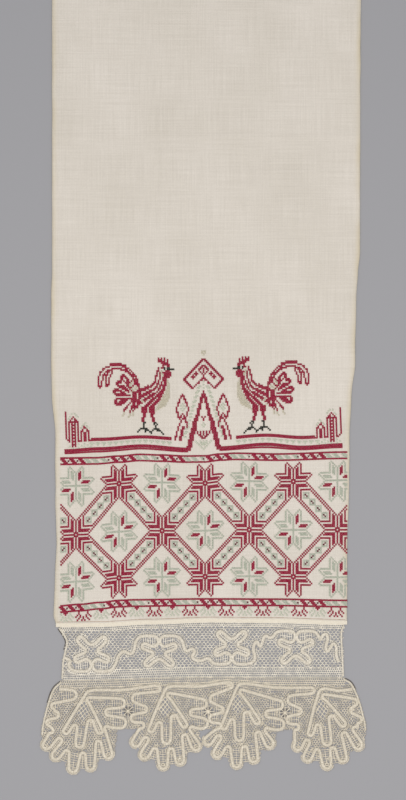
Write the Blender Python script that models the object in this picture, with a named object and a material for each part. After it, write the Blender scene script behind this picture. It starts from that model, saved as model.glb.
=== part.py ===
"""End of an embroidered linen towel with a lace insertion and a scalloped lace edging.

The towel lies flat, face up. +X is to the right across the towel, +Y runs up its length to
the plain hemmed end, +Z is up. The sizes below are in millimetres. Heights along the towel
are measured from the middle of the cream band that joins cloth and lace, and the finished
part is centred over its origin with its underside at z = 0.
"""

import math

import bpy
from mathutils import Vector, kdtree
from mathutils.geometry import delaunay_2d_cdt

MM = 0.001

# Thicknesses of the layers
LINEN = 1.2
BAND = 1.7
NET = 1.0
BRAID = 1.9
PIECE_GAP = 0.3

# The cloth
CLOTH_LENGTH = 789.5
HEM_DEPTH = 12.0
HEM_STEP = 0.8
HEM_EXTRA = 1.1
SELVEDGE_WIDTH = 3.0
SELVEDGE_EXTRA = 0.35
CLOTH_COLUMNS = 14

# Side edges of the cloth: height above the band, left edge, right edge
SIDES = (
    (0.0, -177.5, 175.0),
    (10.0, -180.0, 175.0),
    (54.0, -178.5, 175.0),
    (97.0, -176.5, 175.0),
    (148.0, -178.0, 177.0),
    (228.0, -178.0, 178.0),
    (272.0, -182.0, 180.0),
    (315.0, -183.0, 184.5),
    (390.0, -183.0, 186.0),
    (424.0, -182.0, 188.0),
    (450.0, -182.0, 190.5),
    (680.0, -182.0, 191.0),
    (CLOTH_LENGTH, -182.0, 192.0),
)

# The joining band waves a little across the towel: place across, rise of its middle line
BAND_WIDTH = 5.4
BAND_WAVE = (
    (-178.0, -3.0),
    (-124.0, -2.4),
    (-63.5, 0.6),
    (9.0, 3.0),
    (81.5, 2.4),
    (176.0, 0.0),
)
BAND_STEPS = 36
WAVE_FADES_AT = 170.0

# One long soft pleat, and the pressed lines of the cloth:
# start across, start up, end across, end up, half width, height
PLEAT_LIFT = 0.6
PLEAT_ROWS = 7
CREASES = (
    (-63.5, 710.0, -45.0, 477.0, 5.0, 1.3),
    (-182.0, 587.0, 191.0, 588.0, 7.0, 0.5),
    (-182.0, 545.0, 190.0, 544.0, 7.0, 0.45),
    (-182.0, 412.0, 187.0, 413.0, 7.0, 0.5),
    (-183.0, 330.0, 184.0, 329.0, 7.0, 0.45),
)

# The lace. Where the insertion meets the edging: place across, height
LACE_SEAM = ((-172.0, -69.8), (0.0, -66.0), (172.0, -66.4))
INSERTION_LEFT = (
    (-174.5, -7.0),
    (-165.5, -22.0),
    (-167.0, -33.0),
    (-169.5, -45.0),
    (-170.5, -56.0),
    (-171.0, -68.0),
)
INSERTION_RIGHT = ((172.0, -4.0), (169.5, -11.5), (170.0, -33.0), (171.0, -52.0), (171.5, -65.0))
EDGING_LEFT = (
    (-171.5, -71.0),
    (-179.0, -77.5),
    (-183.0, -84.0),
    (-187.5, -97.0),
    (-191.5, -112.0),
    (-194.5, -126.0),
    (-195.5, -136.0),
)
EDGING_RIGHT = (
    (171.5, -67.5),
    (179.5, -72.0),
    (185.0, -81.0),
    (190.0, -93.0),
    (194.0, -107.0),
    (197.5, -121.0),
    (198.5, -130.0),
)

# The braid: a narrow tape that winds through the net
BRAID_WIDTH = 4.2
EDGE_BRAID_INSET = 2.2
PICOTS = 1.1
TIP_ARC = 84.0

# A bend of the braid is a U-turn: centre across, centre up, radius, the way its top faces
# in degrees, and +1 where the braid turns left or -1 where it turns right.
# Cross-shaped figure of the insertion, its left half, from its own centre
FIGURE_BENDS = (
    (-7.3, 14.0, 6.4, 0.0, -1),
    (-17.5, 7.0, 3.8, 180.0, 1),
    (-11.5, -2.0, 3.5, 0.0, -1),
    (-17.0, -12.7, 3.6, 215.0, 1),
)
FIGURE_WAIST = -8.5
FIGURE_SHOULDER = ((-28.0, 14.0), (-22.5, 19.5))
# The four figures: centre across, centre up, +1 for round loops on top or -1 below, and
# how much taller than the pattern each one was worked
FIGURES = (
    (-134.0, -35.5, -1, 1.14),
    (-52.5, -36.5, 1, 1.0),
    (35.5, -28.0, -1, 1.08),
    (113.0, -32.0, 1, 1.07),
)
# The line of braid before, between and after the figures: across, up
JOINERS = (
    ((-168.0, -42.0), (-160.0, -46.5)),
    ((-102.0, -41.0), (-98.0, -36.0), (-93.5, -35.0), (-89.5, -37.5), (-84.5, -36.5),
     (-82.0, -30.0)),
    ((-22.0, -31.0), (-18.5, -34.5), (-13.0, -31.5), (-9.5, -35.0), (-12.5, -41.0),
     (-8.0, -45.5), (0.0, -45.5)),
    ((61.5, -33.0), (63.0, -25.5), (66.0, -23.0), (69.0, -28.5), (72.0, -25.0), (74.5, -17.5),
     (77.5, -16.0), (81.0, -18.5)),
    ((142.5, -20.0), (145.5, -15.5), (149.5, -14.0), (151.5, -19.0), (149.5, -28.0),
     (150.5, -34.0), (154.5, -31.0), (158.0, -25.5), (161.5, -29.0), (162.0, -40.0),
     (165.0, -48.0)),
)

# The fans of the edging: hub across, hub up, lean in degrees, stretch
FANS = (
    (-141.2, -84.1, -8.0, 1.005),
    (-45.1, -79.3, 0.0, 1.0),
    (42.2, -75.6, 1.0, 1.017),
    (141.2, -81.7, 7.5, 0.975),
)
# Lobes of a fan: lean of the tip seen from the hub, reach of the tip, the way it faces
# (all from straight down, + to the right)
LOBE_RADIUS = 5.0
LOBES = (
    (-29.5, 79.0, -46.0),
    (-18.0, 89.0, -30.0),
    (-1.6, 97.5, -2.0),
    (11.3, 93.5, 8.0),
    (27.5, 84.0, 23.0),
)
# The first and the last lobe of the whole edging reach further
END_LOBE_EXTRA = 4.5
# Valleys between the lobes: lean, reach of the inner bend
VALLEY_RADIUS = 3.2
VALLEYS = ((-19.7, 63.5), (-9.2, 73.5), (5.5, 73.0), (22.2, 60.5))
LOBE_SIDES = 5
NOTCH_ANGLE = 38.0
NOTCH_EASE = 1.0

# Palm of a fan, from its hub: right leaf, valley, finger, valley, left leaf
PALM_BENDS = (
    (5.4, -8.6, 2.8, 170.0, 1),
    (23.0, -44.0, 3.4, -62.0, -1),
    (11.0, -36.3, 3.8, 90.0, 1),
    (1.3, -62.3, 5.0, -90.0, -1),
    (-7.4, -44.2, 3.1, 90.0, 1),
    (-17.0, -50.0, 3.2, -110.0, -1),
)
# Wheels between the fans: centre across, centre up, spread of the bends beside them
WHEELS = ((-90.1, -107.1, 1.15), (6.7, -107.7, 0.88), (99.8, -109.1, 0.97))
LEFT_OF_WHEEL = (
    (-21.8, -21.0, 3.1, 125.0, -1),
    (-7.9, -14.0, 6.4, 0.0, 1),
    (-20.0, -1.2, 4.2, 180.0, -1),
    (-8.5, 9.7, 5.6, 0.0, 1),
)
RIGHT_OF_WHEEL = (
    (9.5, 15.4, 5.8, 180.0, 1),
    (16.3, 2.4, 4.1, 0.0, -1),
    (7.5, -8.5, 5.0, 180.0, 1),
    (13.7, -17.3, 3.6, -20.0, -1),
)
HUB_BEND = (-9.5, -0.5, 3.6, 0.0, -1)
# The bends at the two ends of the edging, where there is no wheel
LEFT_END = (
    (-158.5, -87.4, 5.8, 0.0, -1),
    (-179.5, -101.0, 3.4, 180.0, 1),
    (-178.5, -111.3, 4.4, 0.0, -1),
    (-184.5, -121.0, 4.3, 180.0, 1),
    (-184.0, -130.5, 3.4, -20.0, -1),
)
RIGHT_END = (
    (185.0, -129.0, 3.2, 120.0, -1),
    (187.5, -117.4, 4.8, 0.0, 1),
    (183.3, -106.0, 4.3, 180.0, -1),
    (182.5, -96.5, 4.6, 0.0, 1),
)
LEFT_START = (-173.5, -80.5)
RIGHT_FINISH = (181.5, -80.5)
HEADING_SAG = 2.0

# Openings of the lace that are wide enough to cut through
DIAMOND_WIDTH = 3.7
DIAMOND_HEIGHT = 4.8
DIAMOND_PITCH = 4.9
DIAMOND_ROW = 3.1
DIAMOND_ROWS = (1, 2, 1, 2, 3, 2, 1)
DIAMOND_TOP = 13.5
WEDGES = 8
WEDGE_INNER = 1.5
WEDGE_OUTER = 5.4
WEDGE_HALF_ANGLE = 14.0

# Spacing of points along the braid: longest step, and degrees of a bend for each step
LONG_STEP = 11.0
BEND_STEP = 50.0
# Nearest that two points of the net's mesh may lie, and steps for measuring a distance
MERGE = 0.02
MEASURE_STEP = 0.4
SEAM_STEPS = 12


def clear_scene():
    for item in list(bpy.data.objects):
        bpy.data.objects.remove(item, do_unlink=True)


def material(name, colour, roughness):
    """A plain Principled BSDF with one colour."""
    made = bpy.data.materials.new(name)
    made.use_nodes = True
    shader = made.node_tree.nodes["Principled BSDF"]
    shader.inputs["Base Color"].default_value = (*colour, 1.0)
    shader.inputs["Roughness"].default_value = roughness
    shader.inputs["Metallic"].default_value = 0.0
    return made


def eased(place, rows, column):
    """Read a column of a table that is sorted by its first column, smoothly between rows."""
    if place <= rows[0][0]:
        return rows[0][column]
    for low, high in zip(rows, rows[1:]):
        if place <= high[0]:
            part = (place - low[0]) / (high[0] - low[0])
            part = part * part * (3.0 - 2.0 * part)
            return low[column] + part * (high[column] - low[column])
    return rows[-1][column]


def wave(across):
    return eased(across, BAND_WAVE, 1)


def inside(point, outline):
    """True where the point lies within the closed outline."""
    found = False
    previous = outline[-1]
    for corner in outline:
        if (corner.y > point.y) != (previous.y > point.y):
            share = (point.y - corner.y) / (previous.y - corner.y)
            if point.x < corner.x + share * (previous.x - corner.x):
                found = not found
        previous = corner
    return found


def towards(degrees, length=1.0):
    """A step in the plane. Degrees run anticlockwise from +X."""
    angle = math.radians(degrees)
    return Vector((math.cos(angle) * length, math.sin(angle) * length))


def below(hub, lean, reach):
    """A point at a reach below a hub. The lean is from straight down, + to the right."""
    return hub + towards(lean - 90.0, reach)


def turned(step, degrees):
    """A step in the plane, turned anticlockwise."""
    angle = math.radians(degrees)
    return Vector((
        step.x * math.cos(angle) - step.y * math.sin(angle),
        step.x * math.sin(angle) + step.y * math.cos(angle),
    ))


def bend_points(bend, centre=Vector((0.0, 0.0)), turn=0.0, spread=1.0):
    """Way in, flank, top, flank and way out of one U-turn of the braid."""
    across, up, radius, facing, sense = bend
    middle = centre + turned(Vector((across * spread, up)), turn)
    angles = (-90.0, -45.0, 0.0, 45.0, 90.0)
    return [middle + towards(facing + turn + sense * angle, radius) for angle in angles]


def smooth(points):
    """Points along a curve through all of the given ones, closer together in the bends."""
    route = [points[0]]
    chain = [points[0]] + list(points) + [points[-1]]
    for before, start, end, after in zip(chain, chain[1:], chain[2:], chain[3:]):
        if (end - start).length < 1e-6:
            continue
        into = (end - before).normalized() * (end - start).length
        out = (after - start).normalized() * (end - start).length
        swing = math.degrees(into.angle(out)) if into.length and out.length else 0.0
        steps = max(1, math.ceil((end - start).length / LONG_STEP), math.ceil(swing / BEND_STEP))
        for step in range(1, steps + 1):
            t = step / steps
            place = (
                start * (2 * t ** 3 - 3 * t ** 2 + 1)
                + into * (t ** 3 - 2 * t ** 2 + t)
                + end * (3 * t ** 2 - 2 * t ** 3)
                + out * (t ** 3 - t ** 2)
            )
            route.append(place)
    return route


def insertion_route():
    """The one line of braid through the four figures of the insertion."""
    points = []
    for number, (across, up, flip, taller) in enumerate(FIGURES):
        points += [Vector(place) for place in JOINERS[number]]
        centre = Vector((across, up))
        half = [Vector(place) for place in FIGURE_SHOULDER]
        for bend in FIGURE_BENDS:
            half += bend_points(bend)
        half.append(Vector((0.0, FIGURE_WAIST)))
        half = [centre + Vector((place.x, place.y * flip * taller)) for place in half]
        points += half
        points += [Vector((2 * across - place.x, place.y)) for place in reversed(half[:-1])]
    points += [Vector(place) for place in JOINERS[-1]]
    return smooth(points)


def lobe_centres(number):
    """Middle of the round end of each lobe of a fan."""
    across, up, lean, stretch = FANS[number]
    centres = []
    for lobe, (tip_lean, reach, facing) in enumerate(LOBES):
        if (number, lobe) in ((0, 0), (len(FANS) - 1, len(LOBES) - 1)):
            reach += END_LOBE_EXTRA
        tip = below(Vector((across, up)), lean + tip_lean, reach * stretch)
        centres.append(tip - towards(lean + facing - 90.0, LOBE_RADIUS))
    return centres


def fan_lobes(number):
    """The braid round the five lobes of a fan."""
    across, up, lean, stretch = FANS[number]
    hub = Vector((across, up))
    points = []
    for lobe, middle in enumerate(lobe_centres(number)):
        facing = LOBES[lobe][2]
        points += bend_points((*middle, LOBE_RADIUS, lean + facing - 90.0, 1))
        if lobe < len(VALLEYS):
            valley_lean, valley_reach = VALLEYS[lobe]
            facing = lean + (facing + LOBES[lobe + 1][2]) / 2 + 90.0
            top = below(hub, lean + valley_lean, valley_reach * stretch)
            middle = top - towards(facing, VALLEY_RADIUS)
            points += bend_points((*middle, VALLEY_RADIUS, facing, -1))
    return points


def heading(start, end):
    """The nearly straight braid from one hub to the next."""
    middle = (start + end) / 2 - Vector((0.0, HEADING_SAG))
    return [start + (middle - start) * 0.5 + Vector((0.0, 0.5)), middle, end]


def edging_route():
    """The one line of braid through the fans and round the wheels."""
    points = [Vector(LEFT_START)]
    for number, (across, up, lean, _) in enumerate(FANS):
        hub = Vector((across, up))
        if number == 0:
            for bend in LEFT_END:
                points += bend_points(bend)
        else:
            points += bend_points(HUB_BEND, hub)
            wheel_across, wheel_up, spread = WHEELS[number - 1]
            for bend in RIGHT_OF_WHEEL:
                points += bend_points(bend, Vector((wheel_across, wheel_up)), spread=spread)
        points += fan_lobes(number)
        if number < len(WHEELS):
            wheel_across, wheel_up, spread = WHEELS[number]
            for bend in LEFT_OF_WHEEL:
                points += bend_points(bend, Vector((wheel_across, wheel_up)), spread=spread)
        else:
            for bend in RIGHT_END:
                points += bend_points(bend)
        for bend in PALM_BENDS:
            points += bend_points(bend, hub, turn=lean)
        points.append(hub + Vector((-1.0, -4.0)))
        points.append(hub + Vector((4.0, 1.5)))
        if number < len(WHEELS):
            after = Vector(FANS[number + 1][:2])
            points += heading(hub + Vector((6.0, 1.5)), after + Vector((-14.0, 3.0)))
        else:
            points += heading(hub + Vector((6.0, 1.5)), Vector(RIGHT_FINISH))
    return smooth(points)


def seam(across):
    return eased(across, LACE_SEAM, 1)


def seam_points(start, end, drop):
    """Points along the join of the two laces, without the two ends."""
    places = [start + (end - start) * step / SEAM_STEPS for step in range(1, SEAM_STEPS)]
    return [Vector((place, seam(place) + drop)) for place in places]


def insertion_outline():
    """The straight strip of net, anticlockwise from its lower left corner."""
    left = [Vector(place) for place in INSERTION_LEFT]
    right = [Vector(place) for place in INSERTION_RIGHT]
    lower = seam_points(left[-1].x, right[-1].x, PIECE_GAP / 2)
    drop = BAND_WIDTH / 2 + PIECE_GAP
    upper = []
    for step in range(1, BAND_STEPS):
        across = right[0].x + (left[0].x - right[0].x) * step / BAND_STEPS
        upper.append(Vector((across, wave(across) - drop)))
    left[0].y = wave(left[0].x) - drop
    right[0].y = wave(right[0].x) - drop
    left[-1].y = seam(left[-1].x) + PIECE_GAP / 2
    right[-1].y = seam(right[-1].x) + PIECE_GAP / 2
    return left + lower + right[::-1] + upper


def scallops(number):
    """Outline round the five lobes of a fan, with a notch between each two."""
    lean = FANS[number][2]
    centres = lobe_centres(number)
    radius = LOBE_RADIUS + BRAID_WIDTH / 2 + PICOTS
    outline = []
    for lobe, middle in enumerate(centres):
        faces = lean + LOBES[lobe][2] - 90.0
        start, end = faces - TIP_ARC, faces + TIP_ARC
        if lobe:
            outline.append((centres[lobe - 1] + middle) / 2 + towards(faces + 180.0, NOTCH_EASE))
            start = heading_of(centres[lobe - 1] - middle) + NOTCH_ANGLE
        if lobe + 1 < len(centres):
            end = heading_of(centres[lobe + 1] - middle) - NOTCH_ANGLE
        for step in range(LOBE_SIDES + 1):
            outline.append(middle + towards(start + (end - start) * step / LOBE_SIDES, radius))
    return outline


def heading_of(step):
    """Direction of a step in degrees, from -270 up to 90, so that down lies mid-range."""
    angle = math.degrees(math.atan2(step.y, step.x))
    return angle - 360.0 if angle > 90.0 else angle


def edging_outline():
    """The scalloped lace, anticlockwise from its upper left corner."""
    outline = [Vector(place) for place in EDGING_LEFT]
    outline[0].y = seam(outline[0].x) - PIECE_GAP / 2
    for number in range(len(FANS)):
        outline += scallops(number)
        if number < len(WHEELS):
            outline += wheel_notch(number)
    right = [Vector(place) for place in EDGING_RIGHT]
    right[0].y = seam(right[0].x) - PIECE_GAP / 2
    outline += right[::-1]
    return outline + seam_points(right[0].x, outline[0].x, -PIECE_GAP / 2)


def wheel_notch(number):
    """Outline of the small gap between two fans, below a wheel."""
    across, up, spread = WHEELS[number]
    reach = BRAID_WIDTH / 2 + PICOTS
    left = LEFT_OF_WHEEL[1]
    right = RIGHT_OF_WHEEL[-1]
    low_left = Vector((across + left[0] * spread - 4.0, up + left[1] - left[2] - reach))
    low_right = Vector((across + right[0] * spread - 4.0, up + right[1] - right[2]))
    return [low_left, (low_left + low_right) / 2 + Vector((0.0, 1.5)), low_right]


def diamond_holes(hub, lean):
    """Rows of open diamonds in the palm of a fan, just below its hub."""
    holes = []
    for row, count in enumerate(DIAMOND_ROWS):
        down = DIAMOND_TOP + row * DIAMOND_ROW
        for place in range(count):
            across = (place - (count - 1) / 2) * DIAMOND_PITCH
            corners = []
            for x, y in ((0, 1), (-1, 0), (0, -1), (1, 0)):
                corner = Vector((across + x * DIAMOND_WIDTH / 2, -down + y * DIAMOND_HEIGHT / 2))
                corners.append(hub + turned(corner, lean))
            holes.append(corners)
    return holes


def wheel_holes(centre):
    """Open wedges between the spokes of a wheel."""
    holes = []
    for number in range(WEDGES):
        middle = (number + 0.5) * 360.0 / WEDGES
        low, high = middle - WEDGE_HALF_ANGLE, middle + WEDGE_HALF_ANGLE
        holes.append([
            centre + towards(middle, WEDGE_INNER),
            centre + towards(low, WEDGE_OUTER),
            centre + towards(high, WEDGE_OUTER),
        ])
    return holes


def beside(route, offset):
    """The route moved sideways by an offset, without points that crowd each other."""
    moved = []
    for number, place in enumerate(route):
        before = route[max(number - 1, 0)]
        after = route[min(number + 1, len(route) - 1)]
        along = (after - before).normalized()
        point = place + Vector((-along.y, along.x)) * offset
        if not moved or (point - moved[-1]).length > 0.25 * BRAID_WIDTH:
            moved.append(point)
    return moved


def inset(points, distance, side):
    """An edge braid's route, inside the given edge by a distance. Side is +1 to the left."""
    return beside(smooth(points), side * distance)


def lace(name, outline, routes, holes, finish):
    """A flat net with raised braid, as one closed solid with its openings cut through."""
    points = []
    edges = []

    def add_line(line, closed):
        first = len(points)
        points.extend(line)
        count = len(line)
        edges.extend((first + step, first + step + 1) for step in range(count - 1))
        if closed:
            edges.append((first + count - 1, first))

    add_line(outline, True)
    for hole in holes:
        add_line(hole, True)
    for route in routes:
        for offset in (-BRAID_WIDTH / 2, 0.0, BRAID_WIDTH / 2):
            line = [place for place in beside(route, offset) if inside(place, outline)]
            add_line(line, False)
    flat, _, triangles, _, _, _ = delaunay_2d_cdt(points, edges, [], 0, MERGE)

    kept = []
    for corners in triangles:
        middle = (flat[corners[0]] + flat[corners[1]] + flat[corners[2]]) / 3
        if inside(middle, outline) and not any(inside(middle, hole) for hole in holes):
            kept.append(tuple(corners))

    centre_line = [place for route in routes for place in fine(route)]
    tree = kdtree.KDTree(len(centre_line))
    for number, place in enumerate(centre_line):
        tree.insert((place.x, place.y, 0.0), number)
    tree.balance()

    used = sorted({corner for corners in kept for corner in corners})
    place_of = {corner: number for number, corner in enumerate(used)}
    tops = []
    for corner in used:
        place = flat[corner]
        distance = tree.find((place.x, place.y, 0.0))[2]
        share = max(0.0, 1.0 - 2.0 * distance / BRAID_WIDTH)
        tops.append((place.x, place.y, NET + (BRAID - NET) * share))
    bottoms = [(x, y, 0.0) for x, y, _ in tops]
    return closed_sheet(name, tops, bottoms, [[place_of[c] for c in t] for t in kept], finish)


def fine(route):
    """The route with extra points, for measuring how far a place is from the braid."""
    points = []
    for start, end in zip(route, route[1:]):
        steps = max(1, math.ceil((end - start).length / MEASURE_STEP))
        points += [start + (end - start) * step / steps for step in range(steps)]
    return points + [route[-1]]


def closed_sheet(name, tops, bottoms, faces, finish):
    """Join a top surface and its underside with walls along every free edge."""
    count = len(tops)
    sides = {}
    for face in faces:
        for start, end in zip(face, face[1:] + face[:1]):
            sides[(start, end)] = True
    polygons = [list(face) for face in faces]
    polygons += [[corner + count for corner in reversed(face)] for face in faces]
    for start, end in sides:
        if (end, start) not in sides:
            polygons.append([end, start, start + count, end + count])
    mesh = bpy.data.meshes.new(name)
    mesh.from_pydata([Vector(place) * MM for place in list(tops) + list(bottoms)], [], polygons)
    mesh.materials.append(finish)
    made = bpy.data.objects.new(name, mesh)
    bpy.context.collection.objects.link(made)
    return made


def crease_height(across, up):
    """Rise of the pressed lines and the pleat at a place of the cloth."""
    rise = 0.0
    place = Vector((across, up))
    for x0, y0, x1, y1, half_width, height in CREASES:
        start, end = Vector((x0, y0)), Vector((x1, y1))
        along = max(0.0, min(1.0, (place - start).dot(end - start) / (end - start).length_squared))
        distance = (place - start - (end - start) * along).length
        rise = max(rise, height * max(0.0, 1.0 - distance / half_width))
    return rise


def cloth_columns():
    """Shares of the cloth's width at which its grid has a line of points."""
    edge = SELVEDGE_WIDTH / (SIDES[0][2] - SIDES[0][1])
    plain = [step / CLOTH_COLUMNS for step in range(1, CLOTH_COLUMNS)]
    return [0.0, edge] + plain + [1.0 - edge, 1.0]


def cloth_rows():
    """Heights at which the grid of the cloth has a line of points."""
    rows = {row[0] for row in SIDES}
    for _, y0, _, y1, half_width, _ in CREASES[1:]:
        middle = (y0 + y1) / 2
        rows |= {middle - half_width, middle, middle + half_width}
    rows |= {CLOTH_LENGTH - HEM_DEPTH, CLOTH_LENGTH - HEM_DEPTH - HEM_STEP, WAVE_FADES_AT}
    _, top, _, end, _, _ = CREASES[0]
    rows |= {top + (end - top) * step / PLEAT_ROWS for step in range(PLEAT_ROWS + 1)}
    return sorted(rows)


def linen(finish):
    """The woven cloth: selvedges at its sides, a folded hem at its plain end."""
    drop = BAND_WIDTH / 2 + PIECE_GAP
    rows = cloth_rows()
    shares = cloth_columns()
    pleat_start, pleat_end = Vector(CREASES[0][:2]), Vector(CREASES[0][2:4])
    pleat_half = CREASES[0][4]
    tops, bottoms, faces = [], [], []
    width = len(shares) + 3
    for up in rows:
        left = eased(up, SIDES, 1)
        right = eased(up, SIDES, 2)
        along = (up - pleat_start.y) / (pleat_end.y - pleat_start.y)
        pleat = pleat_start.x + (pleat_end.x - pleat_start.x) * along
        places = [left + (right - left) * share for share in shares]
        places = [place for place in places if abs(place - pleat) > pleat_half + SELVEDGE_WIDTH]
        places += [pleat - pleat_half, pleat, pleat + pleat_half]
        places += spread_evenly(places, width - len(places))
        for across in sorted(places):
            fade = max(0.0, 1.0 - up / WAVE_FADES_AT)
            y = up + (wave(across) + drop) * fade
            rise = crease_height(across, up)
            edge = min(across - left, right - across)
            extra = SELVEDGE_EXTRA if edge < SELVEDGE_WIDTH else 0.0
            if up > CLOTH_LENGTH - HEM_DEPTH - HEM_STEP / 2:
                extra = HEM_EXTRA
            tops.append((across, y, LINEN + extra + rise))
            lift = PLEAT_LIFT * rise if rise > CREASES[1][5] else 0.0
            bottoms.append((across, y, lift))
    for row in range(len(rows) - 1):
        for column in range(width - 1):
            corner = row * width + column
            faces.append([corner, corner + 1, corner + width + 1])
            faces.append([corner, corner + width + 1, corner + width])
    return closed_sheet("linen", tops, bottoms, faces, finish)


def spread_evenly(places, missing):
    """Extra places in the widest gaps, so that each row has the same number of points."""
    extra = []
    while missing > len(extra):
        line = sorted(places + extra)
        low, high = max(zip(line, line[1:]), key=lambda pair: pair[1] - pair[0])
        extra.append((low + high) / 2)
    return extra


def joining_tape(finish):
    """The cream band over the join of cloth and lace, a little domed."""
    left, right = SIDES[0][1], SIDES[0][2]
    shares = (-0.5, -0.32, 0.32, 0.5)
    rises = (0.7, 1.0, 1.0, 0.7)
    tops, bottoms, faces = [], [], []
    for step in range(BAND_STEPS + 1):
        across = left + (right - left) * step / BAND_STEPS
        for share, rise in zip(shares, rises):
            y = wave(across) + share * BAND_WIDTH
            tops.append((across, y, BAND * rise))
            bottoms.append((across, y, 0.0))
    count = len(shares)
    for step in range(BAND_STEPS):
        for row in range(count - 1):
            corner = step * count + row
            faces.append([corner, corner + count, corner + count + 1])
            faces.append([corner, corner + count + 1, corner + 1])
    return closed_sheet("joining_tape", tops, bottoms, faces, finish)


def settle(pieces):
    """Centre the towel over the origin, lengthwise and across."""
    places = [vertex.co for piece in pieces for vertex in piece.data.vertices]
    middle = Vector((
        (min(p.x for p in places) + max(p.x for p in places)) / 2,
        (min(p.y for p in places) + max(p.y for p in places)) / 2,
        0.0,
    ))
    for piece in pieces:
        for vertex in piece.data.vertices:
            vertex.co -= middle


def main():
    clear_scene()
    flax = material("linen cloth", (0.66, 0.62, 0.54), 0.9)
    cream = material("cream cotton tape", (0.78, 0.73, 0.62), 0.8)
    thread = material("lace thread", (0.70, 0.65, 0.55), 0.85)

    insertion_edges = [
        inset([Vector(p) for p in INSERTION_LEFT], EDGE_BRAID_INSET, 1),
        inset([Vector(p) for p in INSERTION_RIGHT], EDGE_BRAID_INSET, -1),
    ]
    edging_edges = [
        inset([Vector(p) for p in EDGING_LEFT], EDGE_BRAID_INSET, 1),
        inset([Vector(p) for p in EDGING_RIGHT], EDGE_BRAID_INSET, -1),
    ]
    holes = []
    for across, up, lean, _ in FANS:
        holes += diamond_holes(Vector((across, up)), lean)
    for across, up, _ in WHEELS:
        holes += wheel_holes(Vector((across, up)))

    settle([
        linen(flax),
        joining_tape(cream),
        lace("lace_insertion", insertion_outline(), [insertion_route()] + insertion_edges, [], thread),
        lace("lace_edging", edging_outline(), [edging_route()] + edging_edges, holes, thread),
    ])


main()
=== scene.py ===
# %% [markdown]
# # The end of an embroidered linen towel
#
# The real thing is a length of hand-woven linen, made to be hung up on feast days. Its end
# carries cross-stitch in crimson and pale green thread, and below it a band of net and a
# scalloped edging are joined on. The towel lies flat, so nearly everything here is thin and
# follows the plane. The CAD model gives the plain solids. This notebook dresses them with
# woven cloth, some sixteen thousand stitches, and real lace made of tape and thread.

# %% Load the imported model
import math
import random

import bpy
import numpy as np
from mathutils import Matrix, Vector, kdtree, noise


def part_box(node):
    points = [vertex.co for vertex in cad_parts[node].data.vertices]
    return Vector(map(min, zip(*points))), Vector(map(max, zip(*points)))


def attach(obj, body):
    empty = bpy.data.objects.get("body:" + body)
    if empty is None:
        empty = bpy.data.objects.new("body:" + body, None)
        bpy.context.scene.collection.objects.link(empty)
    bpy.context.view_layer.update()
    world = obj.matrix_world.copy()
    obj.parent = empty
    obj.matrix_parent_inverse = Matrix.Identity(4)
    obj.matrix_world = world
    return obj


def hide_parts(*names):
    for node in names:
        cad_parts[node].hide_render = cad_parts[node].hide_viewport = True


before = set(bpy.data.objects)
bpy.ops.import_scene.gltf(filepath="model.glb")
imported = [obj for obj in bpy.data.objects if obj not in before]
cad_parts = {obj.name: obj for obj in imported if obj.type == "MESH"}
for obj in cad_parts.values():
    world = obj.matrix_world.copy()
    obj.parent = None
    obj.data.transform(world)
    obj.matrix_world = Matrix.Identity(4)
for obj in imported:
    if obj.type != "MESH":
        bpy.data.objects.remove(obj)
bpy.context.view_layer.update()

print("nodes:", sorted(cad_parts))

# %% [markdown]
# ## Units and places
#
# A maker measures this towel in millimetres, and counts up from the cream band that joins
# cloth and lace. Every size below is in those units. The model's own frame is in metres and
# is centred on the towel, so one function turns a place of the towel into a place of the
# frame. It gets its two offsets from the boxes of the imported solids, never from a guess.

# %% Turn places of the towel into places of the frame
MM = 0.001
CLOTH_LENGTH = 789.5
BAND_LEFT = -177.5
BAND_RIGHT = 175.0

_, linen_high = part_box("linen")
tape_low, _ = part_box("joining_tape")
MIDDLE_UP = CLOTH_LENGTH - linen_high.y / MM
MIDDLE_ACROSS = BAND_LEFT - tape_low.x / MM


def in_frame(place):
    """A place of the towel (across, up, height in millimetres) in the model's frame."""
    height = place[2] if len(place) > 2 else 0.0
    return Vector((place[0] - MIDDLE_ACROSS, place[1] - MIDDLE_UP, height)) * MM


def mesh_of(name, places, edges=(), faces=()):
    """A mesh from places of the towel."""
    mesh = bpy.data.meshes.new(name)
    mesh.from_pydata([in_frame(place) for place in places], list(edges), list(faces))
    return mesh


def object_of(name, mesh):
    """An object at the origin, linked to the scene."""
    made = bpy.data.objects.new(name, mesh)
    bpy.context.scene.collection.objects.link(made)
    return made


print("middle of the towel:", round(MIDDLE_ACROSS, 2), round(MIDDLE_UP, 2))

# %% [markdown]
# ## Camera and light
#
# A flat textile is photographed from straight above, under light so soft that it leaves
# almost no shadow. A long lens far away keeps the edges parallel. Two broad lamps, high over
# the lace end, give the stitches and the braid a little shade on their upper sides, and a
# pale sky fills the rest.

# %% Set up the camera and the lamps
PICTURE_HEIGHT = 968.0
PICTURE_MIDDLE = (0.6, 269.3)
CAMERA_HEIGHT = 4.0
SENSOR = 36.0

camera_data = bpy.data.cameras.new("camera")
camera_data.sensor_width = SENSOR
camera_data.lens = SENSOR * CAMERA_HEIGHT / (PICTURE_HEIGHT * MM)
camera = object_of("camera", camera_data)
camera.location = in_frame((*PICTURE_MIDDLE, 0.0)) + Vector((0.0, 0.0, CAMERA_HEIGHT))
bpy.context.scene.camera = camera


def lamp(name, place, size, power, warmth):
    """A square area lamp that faces the middle of the towel."""
    data = bpy.data.lights.new(name, "AREA")
    data.size = size
    data.energy = power
    data.color = warmth
    made = object_of(name, data)
    made.location = place
    made.rotation_euler = (-Vector(place)).to_track_quat("-Z", "Y").to_euler()
    return made


lamp("key lamp", (-0.2, -0.35, 2.35), 1.1, 31.5, (1.0, 0.985, 0.96))
lamp("fill lamp", (0.9, -0.9, 2.3), 1.8, 14.5, (1.0, 0.985, 0.97))

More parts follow.
